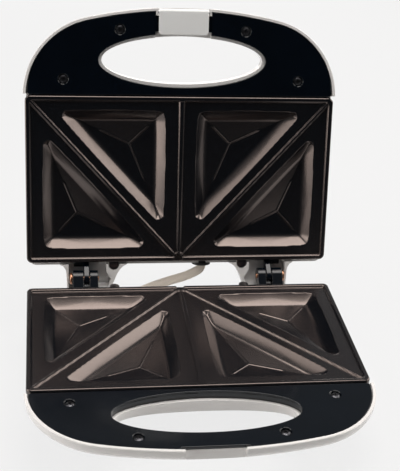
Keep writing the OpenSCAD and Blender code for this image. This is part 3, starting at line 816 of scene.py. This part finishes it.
def extruded(name, outline, x0, x1, edge, half, side):
    """Profile in y and d, extruded along x."""
    return filled(name, [outline], x0, x1, edge,
                  lambda u, v, w: half.at(side * w, -u, v))


def arm(name, k, half, side):
    """One hinge knuckle from k[0] to k[1] on its arm."""
    ring = [(HINGE_Y + KNUCKLE_R * math.cos(math.radians(a)),
             KNUCKLE_R * math.sin(math.radians(a))) for a in range(-138, 106, 6)]
    outline = ring + [(3, RAIL_D), (-1.5, RAIL_D), (-1.5, PLATE_T), (0.4, PLATE_T)]
    return extruded(name, outline, k[0], k[1], 0.4, half, side)


# radius and depth round a countersink
SINK = ((3.75, FRAME_D + 0.3), (3.5, FRAME_D + 0.5), (3.4, FRAME_D + 1.4),
        (1.7, FRAME_D + 1.7), (1.7, FRAME_D + 3.6), (5.4, FRAME_D + 3.6),
        (5.4, FRAME_D + 0.9), (3.75, FRAME_D + 0.6))


def frame_piece(half):
    """The black moulding of one half with its collar, rails and hinge arms."""
    name = "frame_" + half.name
    outer = frame_outline(FRAME_GAP)
    holes = [ellipse(OPEN_HW, half.open_hh, half.open_s)]
    holes += [circle(x, s, SCREW_HOLE_R) for x, s in SCREW_AT]
    notch_s, notch_slope = NOTCH_BASE if half is BASE else NOTCH_LID
    outer = cut_notch(outer, NOTCH_HW, notch_s, notch_slope)
    parts = [filled(name + "_sheet", [outer] + holes, FRAME_D, FRAME_D + FRAME_T, FRAME_EDGE,
                    half.at)]
    if half is LID:
        sunk = block("sunk", (-NOTCH_HW, NOTCH_HW), (150, 200), (-5, FRAME_D + 1.1), half)
        boolean(parts[0], sunk)
        boolean(parts[0], block("lip", (-NOTCH_HW, NOTCH_HW), LIP_GAP_S, (-5, 20), half))
        shade(parts[0], True, 40.0)
    for x, s in SCREW_AT:
        parts.append(turned(name + "_sink", SINK + SINK[:1],
                            lambda u, v, w: half.at(x + u, s + v, w), 40, False))
    low = half.ledge_d - 0.1
    section = ((0.0, FRAME_D + 0.9), (0.0, low - 0.3), (0.3, low), (1.5, low),
               (1.8, low - 0.3), (1.8, FRAME_D + 1.1), (1.0, FRAME_D + 0.9))
    rings = [[half.at(x, s, d) for x, s in
              ellipse(OPEN_HW + grow, half.open_hh + grow, half.open_s)]
             for grow, d in section + section[:1]]
    ring = loft(name + "_collar", rings, False)
    if half is LID:
        boolean(ring, block("gap", (-NOTCH_HW, NOTCH_HW), (158, 167.6), (-5, 20), half))
        shade(ring, True, 40.0)
    parts.append(ring)
    rails = [[(-RAIL_X, FRAME_BACK + 1), (-RAIL_X, RAIL_S + RAIL_CUT),
              (-RAIL_X + RAIL_CUT, RAIL_S), (RAIL_X - RAIL_CUT, RAIL_S),
              (RAIL_X, RAIL_S + RAIL_CUT), (RAIL_X, FRAME_BACK + 1)],
             round_rect(-RAIL_IN_X, RAIL_IN_S[0], RAIL_IN_X, RAIL_IN_S[1], 1.0)]
    parts.append(filled(name + "_rails", rails, PLATE_T, RAIL_D, 0.3, half.at))
    step = round_rect(-RAIL_X, FRAME_BACK, RAIL_X, FRAME_BACK + 1.8, 0.6)
    parts.append(filled(name + "_step", [step], FRAME_D + 0.6, RAIL_D, 0.25, half.at))
    for side in (-1, 1):
        knuckles = BASE_KNUCKLES if half is BASE else (LID_KNUCKLE,)
        for k in knuckles:
            parts.append(arm(name + "_arm", k, half, side))
        if half is LID:
            bracket = [(-1.5, PLATE_T), (0.4, PLATE_T), (2.2, 3.2), (4.3, 5.2),
                       (3.4, RAIL_D), (-1.5, RAIL_D)]
            parts.append(extruded(name + "_bracket", bracket, *BRACKET, 0.3, half, side))
    return weighted(joined(name, parts))


base_frame = frame_piece(BASE)
lid_frame = frame_piece(LID)


# ---------- small parts ----------

SCREW_TOP = FRAME_D + 0.35
SCREW_SHAPE = [(r, SCREW_TOP + d) for r, d in
               ((0.001, 0.0), (1.0, 0.06), (2.0, 0.24), (2.7, 0.5), (3.05, 0.85),
                (3.1, 1.2), (1.5, 1.2), (1.5, 7.6), (1.1, 8.0), (0.001, 8.0))]
CROSS_L = 1.7
CROSS_HW = 0.36
CROSS_D = 1.0


def screws(half):
    """Cross-head screws in the frame's countersinks."""
    parts = []
    for (x, s), turn in zip(SCREW_AT, SCREW_TURNS):
        screw = turned("screw", SCREW_SHAPE, lambda u, v, w: half.at(x + u, s + v, w))
        for quarter in (0, 90):
            a = math.radians(turn + quarter)
            ux, us = math.cos(a), math.sin(a)
            cross = [(x + ux * CROSS_L * i - us * CROSS_HW * j,
                      s + us * CROSS_L * i + ux * CROSS_HW * j)
                     for i, j in ((-1, -1), (1, -1), (1, 1), (-1, 1))]
            boolean(screw, prism("cross", cross, SCREW_TOP - 2, SCREW_TOP + CROSS_D, half.at))
        shade(screw, True, 40.0)
        parts.append(screw)
    return joined("screws_" + half.name, parts)


base_screws = screws(BASE)
lid_screws = screws(LID)


def clip():
    """The latch clip, folded against the open lid's front edge."""
    s0, s1 = CLIP_S - CLIP_L, CLIP_S
    top = CLIP_D - CLIP_R
    body = filled("clip_body", [round_rect(-CLIP_HW, s0, CLIP_HW, s1, 2.4)], top,
                  top + CLIP_T, 0.55, LID.at)
    lip = filled("clip_lip", [round_rect(-CLIP_HW + 2, s0, CLIP_HW - 2, s0 + 1.6, 0.7)],
                 top + 0.5, top + CLIP_T + LIP_L, 0.3, LID.at)
    ends = ((1.8, -CLIP_HW), (CLIP_R, -CLIP_HW + 0.4), (CLIP_R, CLIP_HW - 0.4),
            (1.8, CLIP_HW))
    barrel = turned("clip_barrel", ends,
                    lambda u, v, w: LID.at(w, CLIP_S + u, CLIP_D + v))
    return weighted(joined("clip", [body, lip, barrel]))


latch_clip = clip()


# radius and x of a hinge pin with its head outside
PIN_SHAPE = ((1.6, 58.8), (2.0, 59.2), (2.0, 78.3), (4.0, 78.3), (4.2, 78.5), (4.2, 79.5),
             (3.8, 80.0), (3.2, 80.1), (1.2, 79.8), (0.001, 79.8))


def pin(side):
    return turned("pin_right" if side > 0 else "pin_left", PIN_SHAPE,
                  lambda u, v, w: BASE.at(side * w, -HINGE_Y + u, v))


pins = {side: pin(side) for side in (-1, 1)}

# Link lead between the back walls: x, y behind the plate's back edge and z from the
# meeting plane
LEAD = ((-34, -4, -17), (-34, 3, -17), (-33, 10, -16.9), (-29.5, 16, -16.4),
        (-22.5, 20.5, -15), (-14, 22.6, -12.8), (-4, 23, -9.4), (5.5, 22.5, -6),
        (12.2, 21.8, -2.4), (16.8, 21.7, 0.7), (18.2, 22.3, 3.3), (18.2, 22.9, 5.7),
        (18.2, 23.45, 7.9), (18.2, 23.95, 9.9))
LEAD_R = 3.4
LEAD_SIDES = 24


def spline(points, k):
    """Catmull-Rom curve through the points, with k steps between two."""
    out = []
    n = len(points) - 1
    for i in range(n):
        a, b = points[max(i - 1, 0)], points[i]
        c, e = points[i + 1], points[min(i + 2, n)]
        for j in range(k):
            t = j / k
            out.append((b * 2 + (c - a) * t + (a * 2 - b * 5 + c * 4 - e) * t * t
                        + (b * 3 - a - c * 3 + e) * t * t * t) * 0.5)
    out.append(points[n])
    return out


def tube(name, path, radius, sides):
    """Round tube along a path, and its rings."""
    up = Vector((0, 0, 1))
    rings = []
    for i, p in enumerate(path):
        ahead = path[min(i + 1, len(path) - 1)] - path[max(i - 1, 0)]
        ahead.normalize()
        up = (up - ahead * up.dot(ahead)).normalized()
        side = ahead.cross(up)
        rings.append([p + (up * math.cos(2 * math.pi * j / sides)
                           + side * math.sin(2 * math.pi * j / sides)) * radius
                      for j in range(sides)])
    return loft(name, rings, True), rings


lead_path = spline([Vector((x, y + ORIGIN_S, z + MATE_Z)) * MM for x, y, z in LEAD], 6)
lead, lead_rings = tube("link_sleeve", lead_path, LEAD_R * MM, LEAD_SIDES)
lead_length = sum((b - a).length for a, b in zip(lead_path, lead_path[1:]))


# ---------- materials ----------

def material(name, colour, roughness, looks):
    """A Principled material; looks has the values of its other inputs."""
    mat = bpy.data.materials.new(name)
    mat.use_nodes = True
    tree = mat.node_tree
    shader = next(n for n in tree.nodes if n.type == "BSDF_PRINCIPLED")
    shader.inputs["Base Color"].default_value = (*colour, 1)
    shader.inputs["Roughness"].default_value = roughness
    shader.inputs["IOR"].default_value = 1.5
    for key, value in looks.items():
        shader.inputs[key].default_value = value
    return mat, tree, shader


def worked(tree, operation, a, b=None):
    """Output of a math node whose inputs are numbers or other outputs."""
    made = tree.nodes.new("ShaderNodeMath")
    made.operation = operation
    for k, value in enumerate((a, b)):
        if isinstance(value, (int, float)):
            made.inputs[k].default_value = value
        elif value is not None:
            tree.links.new(value, made.inputs[k])
    return made.outputs["Value"]


def mapped(tree, source, span, values, kind="LINEAR"):
    """Goes from one value to the other as the source goes over its span."""
    made = tree.nodes.new("ShaderNodeMapRange")
    made.interpolation_type = kind
    made.inputs["From Min"].default_value = span[0]
    made.inputs["From Max"].default_value = span[1]
    made.inputs["To Min"].default_value = values[0]
    made.inputs["To Max"].default_value = values[1]
    tree.links.new(source, made.inputs["Value"])
    return made.outputs["Result"]


def noise(tree, scale, detail=3.0, rough=0.6):
    at = tree.nodes.new("ShaderNodeTexCoord")
    made = tree.nodes.new("ShaderNodeTexNoise")
    made.inputs["Scale"].default_value = scale
    made.inputs["Detail"].default_value = detail
    made.inputs["Roughness"].default_value = rough
    tree.links.new(at.outputs["Object"], made.inputs["Vector"])
    return made


def ramp(tree, source, low, high, dark, light):
    made = tree.nodes.new("ShaderNodeValToRGB")
    made.color_ramp.elements[0].position = low
    made.color_ramp.elements[1].position = high
    made.color_ramp.elements[0].color = (*dark, 1)
    made.color_ramp.elements[1].color = (*light, 1)
    tree.links.new(source, made.inputs["Fac"])
    return made


def vary_colour(tree, shader, scale, dark, light, low=0.35, high=0.65, detail=3.0):
    mix = ramp(tree, noise(tree, scale, detail).outputs["Fac"], low, high, dark, light)
    tree.links.new(mix.outputs["Color"], shader.inputs["Base Color"])


def vary_roughness(tree, shader, scale, low, high, detail=4.0):
    level = mapped(tree, noise(tree, scale, detail).outputs["Fac"], (0.3, 0.7), (low, high))
    tree.links.new(level, shader.inputs["Roughness"])


def bump(tree, shader, source, strength, distance):
    made = tree.nodes.new("ShaderNodeBump")
    made.inputs["Strength"].default_value = strength
    made.inputs["Distance"].default_value = distance
    tree.links.new(source, made.inputs["Height"])
    tree.links.new(made.outputs["Normal"], shader.inputs["Normal"])


def varied(name, colour, roughness, colours, rough, relief=None, looks=None):
    """A material with noise in its colour, its roughness and, with relief, its height."""
    mat, tree, shader = material(name, colour, roughness, looks or {})
    vary_colour(tree, shader, *colours)
    vary_roughness(tree, shader, *rough)
    if relief:
        scale, detail, strength, distance = relief
        bump(tree, shader, noise(tree, scale, detail).outputs["Fac"], strength, distance)
    return mat


def times(colour, share):
    return tuple(c * share for c in colour)


def rubber_material(name, colour):
    return varied(name, colour, 0.55, (300, times(colour, 0.8), times(colour, 1.25)),
                  (200, 0.45, 0.65), (1800, 2.0, 0.2, 0.00006))


# Strands round the sleeve, and in each WEAVE_L of its length
STRANDS_ROUND = 10.0
STRANDS_ALONG = 22.0
WEAVE_L = 0.022


def braid_material():
    """Two sets of helical strands over the sleeve, drawn along its own length, with painted
    shade in the gaps between them.
    """
    mat, tree, shader = material("braided_sleeve", (0.6, 0.5, 0.42), 0.75,
                                 {"Sheen Weight": 0.1})
    uv = tree.nodes.new("ShaderNodeUVMap")
    uv.uv_map = "along"
    split = tree.nodes.new("ShaderNodeSeparateXYZ")
    tree.links.new(uv.outputs["UV"], split.inputs["Vector"])
    round_by = worked(tree, "MULTIPLY", split.outputs["X"], STRANDS_ROUND * 2 * math.pi)
    along_by = worked(tree, "MULTIPLY", split.outputs["Y"], STRANDS_ALONG * 2 * math.pi)
    one = worked(tree, "SINE", worked(tree, "ADD", round_by, along_by))
    two = worked(tree, "SINE", worked(tree, "SUBTRACT", round_by, along_by))
    weave = worked(tree, "MAXIMUM", one, two)
    # painted shade: the gaps between the strands are coloured darker than the strand crowns; the
    # bump below gives the same weave its relief
    mix = ramp(tree, weave, 0.0, 0.9, (0.8, 0.7, 0.6), (0.98, 0.91, 0.82))
    tree.links.new(mix.outputs["Color"], shader.inputs["Base Color"])
    bump(tree, shader, weave, 0.45, 0.0003)
    return mat


def glass_material(name, colour):
    return varied(name, colour, 0.12, (250, times(colour, 0.85), colour), (150, 0.1, 0.2),
                  None, {"IOR": 1.49, "Transmission Weight": 0.35})


def ceramic_material(name, colour, rough):
    return varied(name, colour, rough, (350, times(colour, 0.88), colour),
                  (300, rough - 0.08, rough + 0.08), (1500, 2.0, 0.15, 0.00005))


METAL = {"Metallic": 1.0}
MATERIALS = {
    "shell": varied("shell_gloss_white", (0.8, 0.785, 0.775), 0.22,
                    (14, (0.795, 0.779, 0.768), (0.803, 0.789, 0.779)), (60, 0.22, 0.25),
                    (900, 2.0, 0.12, 0.00005), {"Coat Weight": 0.25, "Coat Roughness": 0.06}),
    "frame": varied("frame_black_plastic", (0.0012, 0.0026, 0.0045), 0.12,
                    (30, (0.0009, 0.0024, 0.005), (0.0013, 0.0032, 0.0065)),
                    (45, 0.1, 0.16), (1400, 2.0, 0.05, 0.00004)),
    "plate": varied("plate_non_stick", (0.0012, 0.003, 0.0052), 0.2,
                    (800, (0.001, 0.0024, 0.0044), (0.002, 0.0042, 0.007), 0.42, 0.62),
                    (300, 0.19, 0.23), (2600, 3.0, 0.04, 0.00005),
                    {"IOR": 1.95, "Specular Tint": (1.0, 0.82, 0.75, 1)}),
    "sheet": varied("aluminised_sheet", (0.6, 0.6, 0.61), 0.35,
                    (120, (0.52, 0.52, 0.53), (0.66, 0.66, 0.67)), (90, 0.28, 0.45),
                    (500, 3.0, 0.15, 0.0001), METAL),
    "steel": varied("zinc_steel", (0.5, 0.5, 0.52), 0.3,
                    (400, (0.4, 0.4, 0.42), (0.56, 0.56, 0.58)), (700, 0.22, 0.42),
                    None, METAL),
    "screw": varied("black_screw", (0.05, 0.05, 0.055), 0.3,
                    (900, (0.04, 0.04, 0.045), (0.12, 0.12, 0.13)), (700, 0.25, 0.4),
                    None, METAL),
    "pin": varied("bronze_pin", (0.42, 0.22, 0.14), 0.3,
                  (500, (0.34, 0.17, 0.10), (0.5, 0.28, 0.18)), (600, 0.25, 0.45),
                  None, METAL),
    "clip": varied("clip_gloss_plastic", (0.84, 0.85, 0.85), 0.25,
                   (18, (0.83, 0.84, 0.84), (0.85, 0.86, 0.86)), (70, 0.24, 0.27),
                   (900, 2.0, 0.1, 0.00005), {"Coat Weight": 0.2, "Coat Roughness": 0.06}),
    "rubber": rubber_material("soft_rubber", (0.02, 0.02, 0.021)),
    "braid": braid_material(),
    "wire": rubber_material("silicone_wire", (0.7, 0.67, 0.6)),
    "bakelite": ceramic_material("bakelite", (0.04, 0.035, 0.03), 0.4),
    "ceramic": ceramic_material("ceramic", (0.72, 0.7, 0.64), 0.45),
    "lamp": ceramic_material("lamp_glass", (0.6, 0.52, 0.42), 0.2),
    "lens_red": glass_material("lens_red", (0.55, 0.03, 0.02)),
    "lens_green": glass_material("lens_green", (0.04, 0.36, 0.09)),
}


def paint(obj, mat):
    obj.data.materials.clear()
    obj.data.materials.append(MATERIALS[mat])


def piece(obj, name, body, slot, nodes, mat=None):
    """Names and paints a piece, and rides it on its body in place of its nodes."""
    obj.name = name
    obj.data.name = name
    paint(obj, mat or slot)
    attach(obj, body)
    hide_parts(*nodes)


piece(base_shell, "shell_base", "base", "shell", ["base_shell"])
piece(lid_shell, "shell_lid", "lid", "shell", ["lid_shell"])
piece(base_plate, "plate_base", "base", "plate", ["base_plate"])
piece(lid_plate, "plate_lid", "lid", "plate", ["lid_plate"])
piece(base_frame, "frame_base", "base", "frame", ["base_frame"])
piece(lid_frame, "frame_lid", "lid", "frame", ["lid_frame"])
piece(base_screws, "screws_base", "base", "steel", ["base_frame_screws"], "screw")
piece(lid_screws, "screws_lid", "lid", "steel", ["lid_frame_screws"], "screw")
piece(latch_clip, "clip", "latch", "clip", ["latch_clip"])
piece(pins[1], "pin_right", "base", "pin", ["hinge_pin_right"])
piece(pins[-1], "pin_left", "base", "pin", ["hinge_pin_left"])

# the sleeve's own round-and-along coordinates for its weave
uv = lead.data.uv_layers.new(name="along")
where = {}
for k, ring in enumerate(lead_rings):
    for j, p in enumerate(ring):
        where[tuple(round(c, 7) for c in p)] = (j, k)
for poly in lead.data.polygons:
    found = [where.get(tuple(round(c, 7) for c in lead.data.vertices[v].co), (0, 0))
             for v in poly.vertices]
    wrap = max(f[0] for f in found) - min(f[0] for f in found) > LEAD_SIDES / 2
    for loop, (j, k) in zip(poly.loop_indices, found):
        turn = (j + LEAD_SIDES if wrap and j < LEAD_SIDES / 2 else j) / LEAD_SIDES
        uv.data[loop].uv = (turn, k / (len(lead_path) - 1) * lead_length / WEAVE_L)
lead.name = "link_sleeve"
paint(lead, "braid")
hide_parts("link_lead")
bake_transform(lead)

KEPT_EDGE = 0.35
KEPT = {
    "base_element": "steel", "base_element_clamps": "steel", "base_heat_shield": "sheet",
    "base_shield_screws": "steel", "base_plate_screws": "steel", "thermostat": "ceramic",
    "thermal_fuse": "ceramic", "terminal_block": "ceramic", "base_wiring": "wire",
    "rubber_feet": "rubber", "cord_gland": "rubber", "base_link_gland": "rubber",
    "lid_element": "steel", "lid_element_clamps": "steel", "lid_heat_shield": "sheet",
    "lid_shield_screws": "steel", "lid_plate_screws": "steel", "lid_link_gland": "rubber",
    "lid_wiring": "wire", "power_lens": "lens_red", "ready_lens": "lens_green",
    "neon_lamps": "lamp", "latch_pin": "steel",
}
for name, mat in KEPT.items():
    paint(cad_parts[name], mat)
for name in ("rubber_feet", "cord_gland", "base_link_gland", "lid_link_gland",
             "power_lens", "ready_lens", "terminal_block", "thermostat"):
    edged(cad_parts[name], KEPT_EDGE)

# ---------- camera, light and floor ----------
CAM_AZ = -0.16874088
CAM_EL = 0.49762855
CAM_ROLL = 0.07090873
CAM_DIST = 0.7178295
CAM_TARGET = Vector((0.0053738, 0.016, 0.1066841))
CAM_LENS = 36 * 1064.9965 / 471

back = Vector((math.sin(CAM_AZ) * math.cos(CAM_EL), -math.cos(CAM_AZ) * math.cos(CAM_EL),
               math.sin(CAM_EL)))
right = (-back).cross(Vector((0, 0, 1))).normalized()
up = right.cross(-back)
roll_right = right * math.cos(CAM_ROLL) + up * math.sin(CAM_ROLL)
roll_up = up * math.cos(CAM_ROLL) - right * math.sin(CAM_ROLL)
cam_data = bpy.data.cameras.new("camera")
cam_data.lens = CAM_LENS
cam_data.sensor_width = 36
cam_data.sensor_fit = "AUTO"
cam_data.clip_start = 0.02
cam_data.clip_end = 30
cam = placed("camera", cam_data)
turn = Matrix((roll_right, roll_up, back)).transposed()
cam.matrix_world = Matrix.Translation(CAM_TARGET + back * CAM_DIST) @ turn.to_4x4()
bpy.context.scene.camera = cam

BACKGROUND = 0.88
PAPER = 0.82
FLOOR_FADE = (-0.36, -0.13)
FLOOR_DARK = 0.06
GLOW_SHARE = 0.9
SOFT_BOX = 4.5
LAMP_COLOUR = (1, 0.96, 0.92)


def soft_box(name, place, aim, width, height, share=1.0):
    """An area lamp of an even brightness over its face, hidden from the camera."""
    data = bpy.data.lights.new(name, "AREA")
    data.shape = "RECTANGLE"
    data.size = width
    data.size_y = height
    data.energy = SOFT_BOX * share * math.pi * width * height
    data.color = LAMP_COLOUR
    box = placed(name, data)
    box.location = place
    box.rotation_mode = "QUATERNION"
    box.rotation_quaternion = (Vector(aim) - Vector(place)).to_track_quat("-Z", "Y")
    box.visible_camera = False


soft_box("overhead", (0.1, 0.12, 1.35), (0.05, 0.12, 0), 1.0, 0.9, 1.1)
soft_box("right", (1.0, 0.25, 0.68), (0, 0.05, 0.1), 1.3, 0.6, 0.78)
soft_box("left_low", (-0.9, -0.12, 0.2), (0, 0.0, 0.1), 0.7, 0.38, 0.8)
soft_box("left_high", (-0.9, 0.0, 0.95), (0, 0.0, 0.1), 0.7, 0.5, 0.5)
soft_box("front", (0.0, -0.52, 1.3), (0, 0, 0.1), 1.0, 0.25, 0.25)
soft_box("behind", (0.0, 1.1, 0.3), (0, 0.05, 0.1), 0.9, 0.35, 0.5)

# The room: dim all round, darker low in front of the object, and pale to the camera
ROOM = 0.18
ROOM_DARK = 0.02
DARK_WAY = (0.087, -0.995, -0.03)
DARK_EDGE = (math.cos(math.radians(65)), math.cos(math.radians(25)))
world = bpy.data.worlds.new("studio")
bpy.context.scene.world = world
world.use_nodes = True
tree = world.node_tree
room = next(n for n in tree.nodes if n.type == "BACKGROUND")
room.inputs["Color"].default_value = (0.97, 0.99, 1.0, 1)
way = tree.nodes.new("ShaderNodeTexCoord")
toward = tree.nodes.new("ShaderNodeVectorMath")
toward.operation = "DOT_PRODUCT"
toward.inputs[1].default_value = DARK_WAY
tree.links.new(way.outputs["Generated"], toward.inputs[0])
level = mapped(tree, toward.outputs["Value"], DARK_EDGE, (ROOM, ROOM_DARK), "SMOOTHSTEP")
paths = tree.nodes.new("ShaderNodeLightPath")
seen = worked(tree, "MULTIPLY", paths.outputs["Is Camera Ray"], BACKGROUND)
tree.links.new(worked(tree, "MAXIMUM", level, seen), room.inputs["Strength"])

# The floor: pale to the camera, and fading to dark in front of the object elsewhere
floor_mesh = bpy.data.meshes.new("floor")
floor_mesh.from_pydata([(-40, -40, 0), (40, -40, 0), (40, 40, 0), (-40, 40, 0)], [],
                       [(0, 1, 2, 3)])
floor = placed("floor", floor_mesh)
mat = bpy.data.materials.new("pale_floor")
mat.use_nodes = True
tree = mat.node_tree
tree.nodes.clear()
paper = tree.nodes.new("ShaderNodeBsdfDiffuse")
glow = tree.nodes.new("ShaderNodeEmission")
glow.inputs["Strength"].default_value = 1.0
paths = tree.nodes.new("ShaderNodeLightPath")
shown = worked(tree, "MAXIMUM", paths.outputs["Is Camera Ray"], paths.outputs["Is Glossy Ray"])
shown = worked(tree, "MAXIMUM", shown, paths.outputs["Is Transmission Ray"])
where = tree.nodes.new("ShaderNodeTexCoord")
split = tree.nodes.new("ShaderNodeSeparateXYZ")
tree.links.new(where.outputs["Object"], split.inputs["Vector"])
lit = mapped(tree, split.outputs["Y"], FLOOR_FADE, (FLOOR_DARK, 1.0), "SMOOTHSTEP")
lit = worked(tree, "MAXIMUM", lit, paths.outputs["Is Camera Ray"])
for shader, level in ((paper, PAPER), (glow, BACKGROUND)):
    tree.links.new(worked(tree, "MULTIPLY", lit, level), shader.inputs["Color"])
mix = tree.nodes.new("ShaderNodeMixShader")
out = tree.nodes.new("ShaderNodeOutputMaterial")
tree.links.new(worked(tree, "MULTIPLY", shown, GLOW_SHARE), mix.inputs["Fac"])
tree.links.new(paper.outputs["BSDF"], mix.inputs[1])
tree.links.new(glow.outputs["Emission"], mix.inputs[2])
tree.links.new(mix.outputs["Shader"], out.inputs["Surface"])
floor.data.materials.append(mat)

bpy.context.scene.view_settings.view_transform = "Standard"

bpy.context.view_layer.update()
